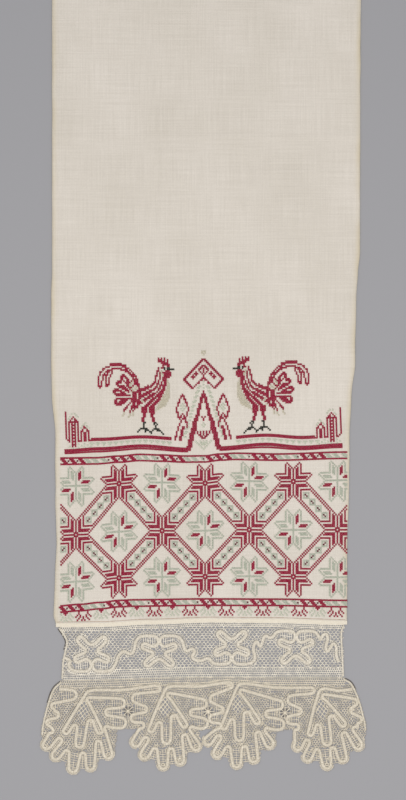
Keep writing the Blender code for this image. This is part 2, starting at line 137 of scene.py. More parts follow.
world = bpy.data.worlds.new("studio")
world.use_nodes = True
world.node_tree.nodes["Background"].inputs["Color"].default_value = (0.93, 0.95, 1.0, 1.0)
world.node_tree.nodes["Background"].inputs["Strength"].default_value = 0.55
bpy.context.scene.world = world
bpy.context.scene.view_settings.view_transform = "Standard"
print("lens", round(camera_data.lens, 1))

# %% [markdown]
# ## Nodes and colours
#
# Every finish here is a small net of nodes, and so is every repeat. One function adds a node
# with its settings and its links. Colours are written as a dyer's card would show them on a
# screen, in hex, and one function turns them into the linear light that Blender mixes.

# %% Add nodes and read colours


def add(tree, kind, feeds=None, **settings):
    """Add a node. Settings are its options, feeds are its inputs: values or other sockets."""
    made = tree.nodes.new(kind)
    for name, value in settings.items():
        setattr(made, name, value)
    for name, value in (feeds or {}).items():
        if isinstance(value, bpy.types.NodeSocket):
            tree.links.new(value, made.inputs[name])
        else:
            made.inputs[name].default_value = value
    return made


def maths(tree, operation, first, second=None):
    """The result of an operation on one or two values or sockets."""
    feeds = {0: first} if second is None else {0: first, 1: second}
    return add(tree, "ShaderNodeMath", feeds, operation=operation).outputs[0]


def linear(colour):
    """An sRGB colour such as #D7D1C5 as linear red, green, blue and alpha."""
    channels = [int(colour[start:start + 2], 16) / 255 for start in (1, 3, 5)]
    bent = [c / 12.92 if c <= 0.04045 else ((c + 0.055) / 1.055) ** 2.4 for c in channels]
    return (*bent, 1.0)


def new_finish(name, roughness, sheen):
    """A material with its shader, and the object coordinates that its patterns read."""
    made = bpy.data.materials.new(name)
    made.use_nodes = True
    tree = made.node_tree
    shader = tree.nodes["Principled BSDF"]
    shader.inputs["Roughness"].default_value = roughness
    shader.inputs["Sheen Weight"].default_value = sheen
    shader.inputs["Sheen Roughness"].default_value = 0.6
    shader.inputs["Specular IOR Level"].default_value = 0.25
    place = add(tree, "ShaderNodeTexCoord").outputs["Object"]
    return made, tree, shader, place


def cloudy(tree, place, spots, detail=3.0, roughness=0.55):
    """Noise whose spots measure (across, up, high) millimetres, as a value from 0 to 1."""
    scale = [1.0 / (size * MM) for size in spots]
    laid = add(tree, "ShaderNodeMapping", {"Vector": place, "Scale": scale})
    feeds = {"Vector": laid.outputs[0], "Scale": 1.0, "Detail": detail, "Roughness": roughness}
    return add(tree, "ShaderNodeTexNoise", feeds).outputs["Fac"]


def between(tree, value, low, high, low_to=0.0, high_to=1.0):
    """Stretch a value's range from low to high, and hold it at the ends."""
    feeds = {"Value": value, "From Min": low, "From Max": high, "To Min": low_to,
             "To Max": high_to}
    return add(tree, "ShaderNodeMapRange", feeds).outputs["Result"]


def mixed(tree, share, first, second, blend="MIX"):
    """Mix two colours. A colour is a hex text or a socket."""
    made = add(tree, "ShaderNodeMix", data_type="RGBA", blend_type=blend)
    ends = {6: first, 7: second}
    for number, colour in ends.items():
        if isinstance(colour, bpy.types.NodeSocket):
            tree.links.new(colour, made.inputs[number])
        else:
            made.inputs[number].default_value = linear(colour)
    if isinstance(share, bpy.types.NodeSocket):
        tree.links.new(share, made.inputs[0])
    else:
        made.inputs[0].default_value = share
    return made.outputs[2]


def fibres(tree, place, shader, size, strength):
    """Roughen a finish with fine bumps, as of spun fibres."""
    bumps = cloudy(tree, place, (size, size, size), 2.0, 0.6)
    bump = add(tree, "ShaderNodeBump", {"Height": bumps, "Strength": strength,
                                        "Distance": 0.0002})
    tree.links.new(bump.outputs[0], shader.inputs["Normal"])


print("white in linear light:", linear("#FFFFFF")[0])

# %% [markdown]
# ## The shape of the cloth
#
# The towel was folded in a drawer for years. It lies flat now, but keeps pressed lines, one
# long soft pleat, and the small unevenness of washed linen, which is deeper where stitching
# draws it in. A simulation would smooth these away, so they are listed: a function gives the
# height of the cloth at any place. The stitches ask it too, so they sit on the cloth wherever
# it rises.

# %% Describe how the cloth lies
CLOTH = 1.0
BAND_WIDTH = 5.4
HEM_DEPTH = 12.0
HEM_STEP = 0.8
HEM_EXTRA = 0.9
WAVE_FADES_AT = 170.0
SEWN_UNTIL = 330.0
SEWN_FADE = 60.0

# Side edges of the cloth: height above the band, left edge, right edge
SIDES = (
    (0.0, BAND_LEFT, BAND_RIGHT),
    (10.0, -180.0, 175.0),
    (54.0, -178.5, 175.0),
    (97.0, -176.5, 175.0),
    (148.0, -178.0, 177.0),
    (228.0, -178.0, 178.0),
    (272.0, -182.0, 180.0),
    (315.0, -183.0, 184.5),
    (390.0, -183.0, 186.0),
    (424.0, -182.0, 188.0),
    (450.0, -182.0, 190.5),
    (680.0, -182.0, 191.0),
    (CLOTH_LENGTH, -182.0, 192.0),
)
# The joining band waves a little across the towel: place across, rise of its middle line
BAND_WAVE = (
    (-178.0, -3.0),
    (-124.0, -2.4),
    (-63.5, 0.6),
    (9.0, 3.0),
    (81.5, 2.4),
    (176.0, 0.0),
)
# The pleat and the pressed lines: start across, up, end across, up, half width, height
CREASES = (
    (-63.5, 710.0, -45.0, 477.0, 4.0, 1.3),
    (-182.0, 587.0, 191.0, 588.0, 6.0, 0.4),
    (-182.0, 545.0, 190.0, 544.0, 6.0, 0.35),
    (-182.0, 412.0, 187.0, 413.0, 6.0, 0.4),
    (-183.0, 330.0, 184.0, 329.0, 6.0, 0.35),
)


def eased(place, rows, column):
    """Read a column of a table that is sorted by its first column, smoothly between rows."""
    if place <= rows[0][0]:
        return rows[0][column]
    for low, high in zip(rows, rows[1:]):
        if place <= high[0]:
            part = (place - low[0]) / (high[0] - low[0])
            part = part * part * (3.0 - 2.0 * part)
            return low[column] + part * (high[column] - low[column])
    return rows[-1][column]


def wave(across):
    """Rise of the joining band's middle line."""
    return eased(across, BAND_WAVE, 1)


def crease_height(across, up):
    """Rise of the pleat and the pressed lines at a place of the cloth."""
    rise = 0.0
    for x0, y0, x1, y1, half_width, height in CREASES:
        run_x, run_y = x1 - x0, y1 - y0
        along = ((across - x0) * run_x + (up - y0) * run_y) / (run_x ** 2 + run_y ** 2)
        along = max(0.0, min(1.0, along))
        distance = math.hypot(across - x0 - run_x * along, up - y0 - run_y * along)
        share = max(0.0, 1.0 - distance / half_width)
        ends = min(1.0, 12.0 * min(along, 1.0 - along)) if x1 - x0 < 100.0 else 1.0
        rise = max(rise, height * ends * share * share * (3.0 - 2.0 * share))
    return rise


def cloth_top(across, up):
    """Height of the cloth's upper side."""
    slow = noise.noise(Vector((across / 75.0, up / 105.0, 3.1))) + 1.0
    quick = noise.noise(Vector((across / 17.0, up / 21.0, 7.7))) + 1.0
    sewn = 1.0 if up < SEWN_UNTIL else max(0.0, 1.0 - (up - SEWN_UNTIL) / SEWN_FADE)
    hem = HEM_EXTRA if up > CLOTH_LENGTH - HEM_DEPTH else 0.0
    uneven = 0.3 * slow + (0.1 + 0.13 * sewn) * quick
    return CLOTH + uneven + crease_height(across, up) + hem


print("cloth height by the band:", round(cloth_top(0.0, 10.0), 2), "mm")

# %% [markdown]
# ## The linen cloth
#
# The cloth is one woven length, so it is one sheet: a grid of points on the height function
# above, about 3 mm apart, which is close enough for every fold to turn softly. A Solidify
# modifier gives it the thickness of the weave. Each point also keeps how near it is to the
# selvedge, because the cloth has yellowed along its edges.

# %% Weave the sheet
COLUMNS = 118
ROWS = 272
SELVEDGE = 7.0


def cloth_rows():
    """Heights of the grid's rows, with close ones where the hem steps up."""
    plain = CLOTH_LENGTH - HEM_DEPTH - HEM_STEP
    rows = [plain * step / ROWS for step in range(ROWS + 1)]
    return rows + [CLOTH_LENGTH - HEM_DEPTH * share for share in (1.0, 0.75, 0.5, 0.25, 0.0)]


def woven_sheet():
    """The cloth as a grid, and for each point its nearness to the selvedge."""
    places, nearness, faces = [], [], []
    drop = BAND_WIDTH / 2 - 1.2
    for up in cloth_rows():
        left = eased(up, SIDES, 1) + 0.5 * noise.noise(Vector((up / 30.0, 0.0, 1.0)))
        right = eased(up, SIDES, 2) + 0.5 * noise.noise(Vector((up / 30.0, 9.0, 1.0)))
        fade = max(0.0, 1.0 - up / WAVE_FADES_AT)
        for column in range(COLUMNS + 1):
            across = left + (right - left) * column / COLUMNS
            edge = min(across - left, right - across)
            places.append((across, up + (wave(across) + drop) * fade, cloth_top(across, up)))
            nearness.append(max(0.0, 1.0 - edge / SELVEDGE))
    width = COLUMNS + 1
    for row in range(len(places) // width - 1):
        for column in range(COLUMNS):
            corner = row * width + column
            faces.append((corner, corner + 1, corner + width + 1, corner + width))
    return places, nearness, faces


places, nearness, faces = woven_sheet()
linen_cloth = object_of("linen_cloth", mesh_of("linen_cloth", places, faces=faces))
linen_cloth.data.shade_smooth()
selvedge_layer = linen_cloth.data.attributes.new("selvedge", "FLOAT", "POINT")
selvedge_layer.data.foreach_set("value", nearness)
thickness = linen_cloth.modifiers.new("cloth thickness", "SOLIDIFY")
thickness.thickness = CLOTH * MM
thickness.offset = -1.0
print("linen cloth:", len(places), "points")

# %% [markdown]
# ## Half-bleached linen
#
# Linen is a bast fibre: its yarn is smooth, a little glossy and never even. Thick places,
# called slubs, run a few centimetres along a thread and show as pale and dark streaks both
# ways. The plain weave shows as bumps that alternate like a draughts board: the product of
# two sine waves. The real threads lie about half a millimetre apart, which is finer than
# the picture can show, so they are drawn a little coarser.

# %% Finish the linen
WEAVE_PITCH = 0.62


def slubs(tree, place, along, across):
    """Streaks of thicker yarn, as a value around one half."""
    return cloudy(tree, place, (along, across, 40.0), 2.0, 0.5)


def sine_of(tree, value, pitch):
    """A wave that rises and falls once in two pitches."""
    turned_by = maths(tree, "MULTIPLY", value, math.pi / (pitch * MM))
    return maths(tree, "SINE", turned_by)


def weave_height(tree, place, pitch):
    """Over and under of a plain weave, from -1 to 1."""
    parts = add(tree, "ShaderNodeSeparateXYZ", {"Vector": place})
    waves = [sine_of(tree, parts.outputs[axis], pitch) for axis in ("X", "Y")]
    return maths(tree, "MULTIPLY", *waves)


def linen_finish():
    """Linen with slubs, specks and a plain weave, yellowed along its selvedges."""
    made, tree, shader, place = new_finish("half-bleached linen, plain weave", 0.88, 0.12)
    ground = mixed(tree, between(tree, cloudy(tree, place, (95, 140, 60)), 0.35, 0.65),
                   "#D2CABE", "#D9D1C6")
    warp = between(tree, slubs(tree, place, 1.5, 55.0), 0.3, 0.7)
    weft = between(tree, slubs(tree, place, 70.0, 1.4), 0.3, 0.7)
    ground = mixed(tree, warp, mixed(tree, 0.13, ground, "#8F8676"), ground)
    ground = mixed(tree, weft, mixed(tree, 0.13, ground, "#8F8676"), ground)
    specks = between(tree, cloudy(tree, place, (2.2, 1.6, 9.0), 4.0, 0.7), 0.38, 0.62)
    ground = mixed(tree, specks, mixed(tree, 0.07, ground, "#857B68"), ground)
    edge = add(tree, "ShaderNodeAttribute", attribute_name="selvedge").outputs["Fac"]
    patchy = between(tree, cloudy(tree, place, (26, 60, 30)), 0.3, 0.7, 0.25, 1.0)
    worn = maths(tree, "MULTIPLY", edge, patchy)
    ground = mixed(tree, between(tree, worn, 0.0, 1.0, 0.0, 0.6), ground, "#C2B187")
    tree.links.new(ground, shader.inputs["Base Color"])
    weave = weave_height(tree, place, WEAVE_PITCH)
    first = add(tree, "ShaderNodeBump", {"Height": weave, "Strength": 0.35, "Distance": 0.0003})
    streaks = maths(tree, "ADD", warp, weft)
    feeds = {"Height": streaks, "Strength": 0.4, "Distance": 0.0003, "Normal": first.outputs[0]}
    second = add(tree, "ShaderNodeBump", feeds)
    tree.links.new(second.outputs[0], shader.inputs["Normal"])
    return made


linen_cloth.data.materials.append(linen_finish())
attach(linen_cloth, "root")
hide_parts("linen")
print("finish:", linen_cloth.data.materials[0].name)

# %% [markdown]
# ## Growing geometry from a node tree
#
# Stitches, net, tape and picots are all repeats, so Geometry Nodes make them. One function
# hangs a tree on a source mesh, sets the tree's named inputs by their identifiers, and keeps
# the result as a plain mesh, so nothing stays live that an export would drop.

# %% Run a node tree and keep its mesh


def new_tree(name, sizes):
    """A Geometry Nodes tree with a geometry input, an output and named sizes."""
    tree = bpy.data.node_groups.new(name, "GeometryNodeTree")
    tree.interface.new_socket("Geometry", in_out="INPUT", socket_type="NodeSocketGeometry")
    for size, kind in sizes.items():
        tree.interface.new_socket(size, in_out="INPUT", socket_type=kind)
    tree.interface.new_socket("Geometry", in_out="OUTPUT", socket_type="NodeSocketGeometry")
    return tree, add(tree, "NodeGroupInput").outputs, add(tree, "NodeGroupOutput").inputs


def close_tree(tree, grown, given, out):
    """End a tree: realize its instances, smooth it and give it its material."""
    real = add(tree, "GeometryNodeRealizeInstances", {"Geometry": grown})
    soft = add(tree, "GeometryNodeSetShadeSmooth", {"Geometry": real.outputs[0]})
    feeds = {"Geometry": soft.outputs[0], "Material": given["Material"]}
    tree.links.new(add(tree, "GeometryNodeSetMaterial", feeds).outputs[0], out["Geometry"])
    return tree


def grow(name, tree, source, **values):
    """The mesh that a tree makes from a source mesh, as an object of its own."""
    made = object_of(name, source)
    modifier = made.modifiers.new("growth", "NODES")
    modifier.node_group = tree
    for item in tree.interface.items_tree:
        asked = item.name.lower().replace(" ", "_")
        if item.in_out == "INPUT" and asked in values:
            modifier[item.identifier] = values[asked]
    depsgraph = bpy.context.evaluated_depsgraph_get()
    mesh = bpy.data.meshes.new_from_object(made.evaluated_get(depsgraph), depsgraph=depsgraph)
    made.modifiers.clear()
    made.data = mesh
    mesh.name = name
    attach(made, "root")
    print(name + ":", sum(len(p.vertices) - 2 for p in mesh.polygons), "triangles")
    return made


# %% [markdown]
# ## One cross stitch
#
# A cross stitch is two short lengths of soft cotton, laid corner to corner over a little
# square of the weave, with the second on top of the first. Each is a low arch, so it is
# grown from a three-point curve with a three-sided section: 24 triangles a stitch, which
# keeps sixteen thousand of them light. A small random turn makes them look sewn by hand.

# %% Build the cross stitch tree
COLUMN_PITCH = 1.815
ROW_PITCH = 1.92


def stitch_tree():
    """A tree that sets a cross stitch on every point of its mesh."""
    sizes = dict.fromkeys(("Width", "Height", "Thread", "Rise"), "NodeSocketFloat")
    tree, given, out = new_tree("cross stitch", {
        **sizes, "Turn": "NodeSocketFloat", "Seed": "NodeSocketInt",
        "Material": "NodeSocketMaterial"})
    half = {name: maths(tree, "MULTIPLY", given[name], 0.5) for name in ("Width", "Height")}
    round_thread = {"Resolution": 3, "Radius": given["Thread"]}
    section = add(tree, "GeometryNodeCurvePrimitiveCircle", round_thread)
    legs = []
    for lean, lift in ((1.0, 1.0), (-1.0, 1.7)):
        side = maths(tree, "MULTIPLY", half["Width"], lean)
        end = add(tree, "ShaderNodeCombineXYZ", {"X": side, "Y": half["Height"], "Z": 0.0})
        start = add(tree, "ShaderNodeVectorMath", {0: end.outputs[0], 1: (-1.0, -1.0, -1.0)},
                    operation="MULTIPLY")
        rise = maths(tree, "MULTIPLY", given["Rise"], lift)
        top = add(tree, "ShaderNodeCombineXYZ", {"Z": rise})
        arch = add(tree, "GeometryNodeCurveQuadraticBezier", {
            "Resolution": 2, "Start": start.outputs[0], "Middle": top.outputs[0],
            "End": end.outputs[0]})
        leg = add(tree, "GeometryNodeCurveToMesh", {
            "Curve": arch.outputs[0], "Profile Curve": section.outputs[0]})
        legs.append(leg.outputs[0])
    cross = add(tree, "GeometryNodeJoinGeometry")
    for leg in legs:
        tree.links.new(leg, cross.inputs[0])
    back = maths(tree, "MULTIPLY", given["Turn"], -1.0)
    spin = add(tree, "FunctionNodeRandomValue", {"Seed": given["Seed"]}, data_type="FLOAT")
    limits = {"Min": back, "Max": given["Turn"]}
    for socket in spin.inputs:
        if socket.type == "VALUE" and socket.name in limits:
            tree.links.new(limits[socket.name], socket)
    drawn = [o for o in spin.outputs if o.type == "VALUE"][0]
    angles = add(tree, "ShaderNodeCombineXYZ", {"Z": drawn})
    turn = add(tree, "FunctionNodeEulerToRotation", {"Euler": angles.outputs[0]})
    sewn = add(tree, "GeometryNodeInstanceOnPoints", {
        "Points": given["Geometry"], "Instance": cross.outputs[0], "Rotation": turn.outputs[0]})
    return close_tree(tree, sewn.outputs[0], given, out)


cross_stitch = stitch_tree()
print("cross stitch tree:", len(cross_stitch.nodes), "nodes")

# %% [markdown]
# ## Where a counted stitch falls
#
# The embroiderer counted threads, so the pattern is a grid of columns and rows. The weave
# isn't perfectly even: the rows wave across the cloth, a column is a little wider on the
# right, and the top of the field is a little flatter. This function turns a column and a row
# of the chart into a place on the towel. Row 0 is the top line of the upper ribbon, rows
# above it are positive, and column 0 runs through the middle stars.

# %% Map the chart onto the cloth
MIDDLE_COLUMN = 3.0
LEFT_PITCH = 1.795
RIGHT_PITCH = 1.84
FIELD_ROWS = 90
BAR_ROW = 4
CALM_ROWS = 30.0
# Lines of the weave that wave: place across, height
UPPER_LINE = (
    (-171.0, 199.0),
    (-130.0, 199.4),
    (-100.0, 201.5),
    (-76.0, 203.5),
    (-51.0, 202.7),
    (-21.0, 201.5),
    (3.0, 201.7),
    (21.0, 203.9),
    (39.0, 204.9),
    (88.0, 203.9),
    (174.0, 206.3),
)
LOWER_LINE = (
    (-175.0, 20.2),
    (-148.0, 22.1),
    (-124.0, 24.4),
    (-100.0, 26.9),
    (-82.0, 27.6),
    (3.0, 28.7),
    (88.0, 28.4),
    (172.0, 26.9),
)
BAR_LINE = (
    (-168.0, 206.7),
    (-124.0, 209.3),
    (-73.0, 212.8),
    (-17.5, 208.7),
    (20.0, 210.3),
    (77.0, 214.8),
    (120.0, 211.1),
    (168.0, 214.1),
)
CALM_HEIGHT = 210.9
CALM_SLOPE = 0.0145
# Share of the field's depth at which a row lies, counted down from the ribbon
ROW_SHARES = ((0, 0.0), (18, 0.1905), (47, 0.524), (76, 0.844), (90, 1.0))


def straight(place, rows):
    """Read the second column of a table that is sorted by its first, straight between rows."""
    for low, high in zip(rows, rows[1:]):
        if place <= high[0]:
            part = (place - low[0]) / (high[0] - low[0])
            return low[1] + part * (high[1] - low[1])
    return rows[-1][1]


def stitch_place(column, row):
    """Place on the towel of a column and row of the chart."""
    side = LEFT_PITCH if column < 0 else RIGHT_PITCH
    calm = min(1.0, max(0.0, row / CALM_ROWS))
    across = MIDDLE_COLUMN + column * (side + (COLUMN_PITCH - side) * calm)
    upper = eased(across, UPPER_LINE, 1)
    if row <= 0:
        lower = eased(across, LOWER_LINE, 1)
        if -row > FIELD_ROWS:
            return across, lower - (-row - FIELD_ROWS) * ROW_PITCH
        return across, upper + (lower - upper) * straight(-row, ROW_SHARES)
    bar = eased(across, BAR_LINE, 1)
    if row <= BAR_ROW:
        return across, upper + (bar - upper) * row / BAR_ROW
    above = row - BAR_ROW
    calm = min(1.0, above / CALM_ROWS)
    line = bar + (CALM_HEIGHT + CALM_SLOPE * across - bar) * calm
    return across, line + above * ROW_PITCH


print("middle star of the top row:", [round(p, 1) for p in stitch_place(0, -18)])

# %% [markdown]
# ## The chart, and strokes on it
#
# A chart is a set of squares, each with the thread that fills it. Simple repeats are written
# as rules. The birds and the gable are drawn as the embroiderer would pencil them: as a few
# strokes on the squared paper, half of the picture, which is then turned over for the other
# half. A stroke is stepped along, and the squares that it passes are filled.

# %% Keep a chart and draw strokes on it
FIELD_LEFT = -97
FIELD_RIGHT = 93
FIGURE_AXIS = -1

chart = {}


def sew(cells, thread):
    """Fill squares with a thread, over whatever was there."""
    for cell in cells:
        chart[cell] = thread


def curve_through(points, longest, widest_bend):
    """Points along a curve through all of the given ones, closer together in the bends."""
    route = [points[0]]
    chain = [points[0]] + list(points) + [points[-1]]
    for before, start, end, after in zip(chain, chain[1:], chain[2:], chain[3:]):
        if (end - start).length < 1e-6:
            continue
        into = (end - before).normalized() * (end - start).length
        out = (after - start).normalized() * (end - start).length
        swing = math.degrees(into.angle(out)) if into.length and out.length else 0.0
        steps = max(1, math.ceil((end - start).length / longest), math.ceil(swing / widest_bend))
        for step in range(1, steps + 1):
            t = step / steps
            place = (
                start * (2 * t ** 3 - 3 * t ** 2 + 1)
                + into * (t ** 3 - 2 * t ** 2 + t)
                + end * (3 * t ** 2 - 2 * t ** 3)
                + out * (t ** 3 - t ** 2)
            )
            route.append(place)
    return route


def squares_along(points, width=1, every=1, curved=False):
    """Squares that a stroke passes: width stitches wide, with only every so many filled."""
    line = [Vector(point) for point in points]
    if curved:
        line = curve_through(line, 1.0, 20.0)
    found = []
    for start, end in zip(line, line[1:]):
        run = end - start
        steps = max(1, math.ceil(2.0 * max(abs(run.x), abs(run.y))))
        for step in range(steps + 1):
            place = start + run * step / steps
            cell = (math.floor(place.x + 0.5), math.floor(place.y + 0.5))
            if not found or cell != found[-1]:
                found.append(cell)
    steep = abs(line[-1].y - line[0].y) >= abs(line[-1].x - line[0].x)
    return [(x + extra, y) if steep else (x, y + extra)
            for extra in range(width) for x, y in found[::every]]


def squares_inside(points, every=1):
    """Squares inside a shape, with only every so many filled as on a draughts board."""
    found = []
    xs, ys = [p[0] for p in points], [p[1] for p in points]
    for x in range(math.floor(min(xs)), math.ceil(max(xs)) + 1):
        for y in range(math.floor(min(ys)), math.ceil(max(ys)) + 1):
            if (x + y) % every == 0 and inside(Vector((x, y)), [Vector(p) for p in points]):
                found.append((x, y))
    return found


def inside(point, outline):
    """True where the point lies within the closed outline."""
    found = False
    previous = outline[-1]
    for corner in outline:
        if (corner.y > point.y) != (previous.y > point.y):
            share = (point.y - corner.y) / (previous.y - corner.y)
            if point.x < corner.x + share * (previous.x - corner.x):
                found = not found
        previous = corner
    return found


def both_sides(cells, nearer=0):
    """Squares counted outwards from the axis of the figures, on its left and its right.
    On the right they lie some columns nearer to it."""
    left = [(FIGURE_AXIS - out, row) for out, row in cells]
    return left + [(FIGURE_AXIS + out - nearer, row) for out, row in cells]


print("chart squares from the axis:", both_sides([(3, 1)]))

# %% [markdown]
# ## The field of eight-pointed stars
#
# This is the oldest kind of counted pattern: a star of eight points, 25 stitches across,
# repeated every 58 columns with a second row shifted by half. Crimson stars are joined
# corner to corner by lanes of dotted lines with four small squares in each. Pale green stars
# stand in the gaps. Each star is a rule for one quarter, reflected to the other three.

# %% Chart the stars and the lanes between them
STAR_STEP = 29
STAR_ROWS = (-18, -47, -76)
LANE_SQUARES = (7, 11, 15, 19)


def quarter(cells, column, row, across=(1, -1), up=(1, -1)):
    """Squares of a quarter of a star, reflected round its centre, inside the field."""
    found = [(column + sx * x, row + sy * y) for x, y in cells for sx in across for sy in up]
    return [cell for cell in found if FIELD_LEFT <= cell[0] <= FIELD_RIGHT]


def either_way(cells):
    """Squares, and the same ones with column and row changed over."""
    return cells + [(y, x) for x, y in cells]


QUARTERS = ((1, 1), (1, -1), (-1, 1), (-1, -1))

AXIS_LINE = either_way([(0, step) for step in range(2, 9)]) + [(1, 0), (0, 1)]
STAR_EDGE = either_way([(5, step) for step in range(5, 12)])
STAR_TIPS = either_way([(step, step + 8) for step in range(1, 5)])
STAR_FILL = either_way([(2, step) for step in range(2, 9)] + [(3, step) for step in range(3, 10)])
PETAL = either_way([(2, step) for step in range(4, 9)] + [(3, step) for step in range(5, 10)])
LANE = either_way([(step, step + 6) for step in range(5, 19)]
                  + [(step, step + 8) for step in range(1, 21)])


def red_star(column, row):
    """A filled crimson star of eight points."""
    cells = AXIS_LINE + [(1, 1)] + STAR_EDGE + STAR_TIPS + STAR_FILL
    sew(quarter(cells, column, row), "crimson")


def green_star(column, row):
    """A pale green star whose petals are crimson in two of its quarters."""
    sew(quarter(AXIS_LINE + [(0, 0)] + STAR_EDGE + STAR_TIPS, column, row), "green")
    for sx, sy in QUARTERS:
        sew(quarter(PETAL, column, row, (sx,), (sy,)), "crimson" if sx == sy else "green")


def lane(column, row, sx, sy):
    """Dotted lines and small squares from a red star towards the next one."""
    sew(quarter(LANE, column, row, (sx,), (sy,)), "crimson")
    for start in LANE_SQUARES:
        block = [(start + x, start + y) for x in range(4) for y in range(4)]
        ring = [(x, y) for x, y in block if {x - start, y - start} & {0, 3}]
        heart = [(start + 1, start + 1), (start + 2, start + 2)]
        sew(quarter(ring, column, row, (sx,), (sy,)), "green")
        sew(quarter(heart, column, row, (sx,), (sy,)), "dark red")


# Every star: its column, its row, and whether it is a red one
stars = [(step * STAR_STEP, row, (step + number) % 2 == 0)
         for number, row in enumerate(STAR_ROWS) for step in range(-4, 5)]
for column, row, red in stars:
    for sx, sy in QUARTERS:
        if red and row + sy * STAR_STEP in STAR_ROWS:
            lane(column, row, sx, sy)
for column, row, red in stars:
    if red:
        red_star(column, row)
    else:
        green_star(column, row)
print("field:", len(chart), "stitches")

# %% [markdown]
# ## The two ribbons and the roots
#
# Above and below the field runs a ribbon: two lines, and between them slanting stripes,
# three of crimson and three of pale green by turns. Below the lower ribbon hang small
# branching roots. The stripes don't start at even distances, because the embroiderer let
# them out to fit, so their starts are a short list of columns.

# %% Chart the ribbons and the roots
UPPER_STARTS = (-97, -63, -30, 1, 31, 63)
LOWER_STARTS = (-98, -66, -36, -3, 30, 63)
LOWER_TOP = -90
ROOT_STARTS = range(-82, 90, 24)
PALE_ROOT_STARTS = range(-94, 90, 24)
# Stripes of one repeat: first column, thread
STRIPES = ((0, "crimson"), (6, "crimson"), (12, "crimson"), (16, "green"), (21, "green"),
           (27, "green"))


def ribbon(top, starts):
    """Two lines and the slanting stripes between them, let out to fit the starts."""
    for line in (top, top - 4):
        sew([(column, line) for column in range(FIELD_LEFT, FIELD_RIGHT + 1)], "crimson")
    for start, following in zip(starts, starts[1:] + (FIELD_RIGHT + 3,)):
        for first, thread in STRIPES:
            for depth in range(3):
                low = start + first + depth
                cells = [(column, top - 1 - depth) for column in range(low, low + 3)]
                room = following - 1 if thread == "green" else FIELD_RIGHT + 1
                sew([cell for cell in cells if cell[0] < min(room, FIELD_RIGHT + 1)], thread)
        dots = [start + 5, start + 11, following - 2]
        sew([(dot, top - 2) for dot in dots if dot < FIELD_RIGHT], "dark red")


ROOT = ((3, 0), (3, 1), (2, 2), (2, 3), (3, 4), (4, 5), (4, 2), (5, 3), (0, 3), (0, 4), (1, 5))


def roots(centre, thread):
    """One branching root below the lower ribbon."""
    for column, depth in ROOT:
        for side in (-1, 1):
            place = centre + side * column
            if FIELD_LEFT <= place <= FIELD_RIGHT:
                sew([(place, LOWER_TOP - 5 - depth)], thread)


ribbon(0, UPPER_STARTS)
ribbon(LOWER_TOP, LOWER_STARTS)
for centre in ROOT_STARTS:
    roots(centre, "crimson")
for centre in PALE_ROOT_STARTS:
    roots(centre, "pale green")
    sew([(centre + step, LOWER_TOP - 5) for step in (-1, 0, 1)], "crimson")
    sew([(centre, LOWER_TOP - 6)], "crimson")
print("with ribbons and roots:", len(chart), "stitches")

# %% [markdown]
# ## The gable, the buds and the posts
#
# Between the birds stands a gable, a sign for a house, with a double diamond over it, a bud
# on each side and little posts at the far ends. All of it is one half, counted outwards from
# the axis, and then turned over.

# %% Chart the bars, the gable, the buds and the posts


def mirrored_stroke(points, thread, width=1, every=1, curved=False, nearer=0):
    """Sew a stroke on the left of the axis and its reflection on the right."""
    sew(both_sides(squares_along(points, width, every, curved), nearer), thread)


def strokes(thread, *lines, **how):
    """Several mirrored strokes of one thread, all sewn the same way."""
    for line in lines:
        mirrored_stroke(line, thread, **how)


def squares(thread, *cells):
    """Single squares of one thread, on the left and on the right."""
    sew(both_sides(cells), thread)


# Side, where the thick bar ends, where the thin bar ends
for side, thick_end, thin_end in ((-1, 94, 76), (1, 92, 74)):
    for rows, first, end in (((3, 4, 5), 11, thick_end), ((10, 11), 22, thin_end)):
        sew([(FIGURE_AXIS + side * out, row) for row in rows for out in range(first, end)],
            "crimson")
for start in range(22, 76, 4):
    squares("pale green", (start, 8), (start + 1, 8), (start + 2, 8), (start + 1, 7))
for start in range(76, 92, 4):
    squares("pale green", (start, 8), (start + 2, 7), (start, 6))

# Gable: the roof, what hangs in it, and the dotted lines beside it
strokes("crimson", ((0, 38), (9, 4)), ((5, 23), (10, 4)), width=2)
strokes("crimson", ((0, 40), (0, 36)), ((10, 5), (12, 5)), ((5, 17), (4, 14), (0, 11)))
squares("crimson", (1, 24), (0, 23), (0, 22), (0, 15), (0, 14), (0, 13), (2, 15), (2, 14))
squares("pale green", (0, 20), (1, 19), (0, 18))
strokes("pale green", ((5, 9), (0, 4)), ((2, 9), (1, 7)), ((0, 9), (0, 7)))
strokes("pale green", ((2, 43), (7, 28), (12, 12)), width=2, every=2)
strokes("pale green", ((0, 46), (0, 42)), every=2)

# Double diamond over the gable, with a small block in each arm
strokes("crimson", ((0, 60), (13, 47)), ((13, 47.5), (7, 41.5)), ((7, 41.5), (0, 48.5)),
        ((0, 56), (3, 53), (0, 50)), ((0, 54), (0, 52)))
squares("crimson", (4, 51), (5, 52), (5, 51), (6, 51), (5, 50), (7, 50), (6, 49), (7, 49),
        (8, 49), (7, 48))
strokes("beige", ((0, 65), (1, 64), (0, 63)))

# Bud: a leaf with a drop in it, on three stems
BUD_NEARER = 1
for points, width in (
    (((14, 38), (16, 34), (18, 29), (17, 25), (16, 23)), 1),
    (((14, 38), (12, 34), (10, 29), (11, 25), (12, 23)), 1),
    (((16, 23), (14, 26), (12, 23)), 1),
    (((14, 23), (17, 17), (19, 10)), 1),
    (((13, 23), (11, 20), (11, 18)), 1),
    (((13, 18), (15, 10)), 2),
):
    mirrored_stroke(points, "crimson", width=width, nearer=BUD_NEARER)
drop = squares_inside(((14, 34), (16, 30), (14, 27), (12, 30)), 2)
sew(both_sides(drop, BUD_NEARER), "pale green")

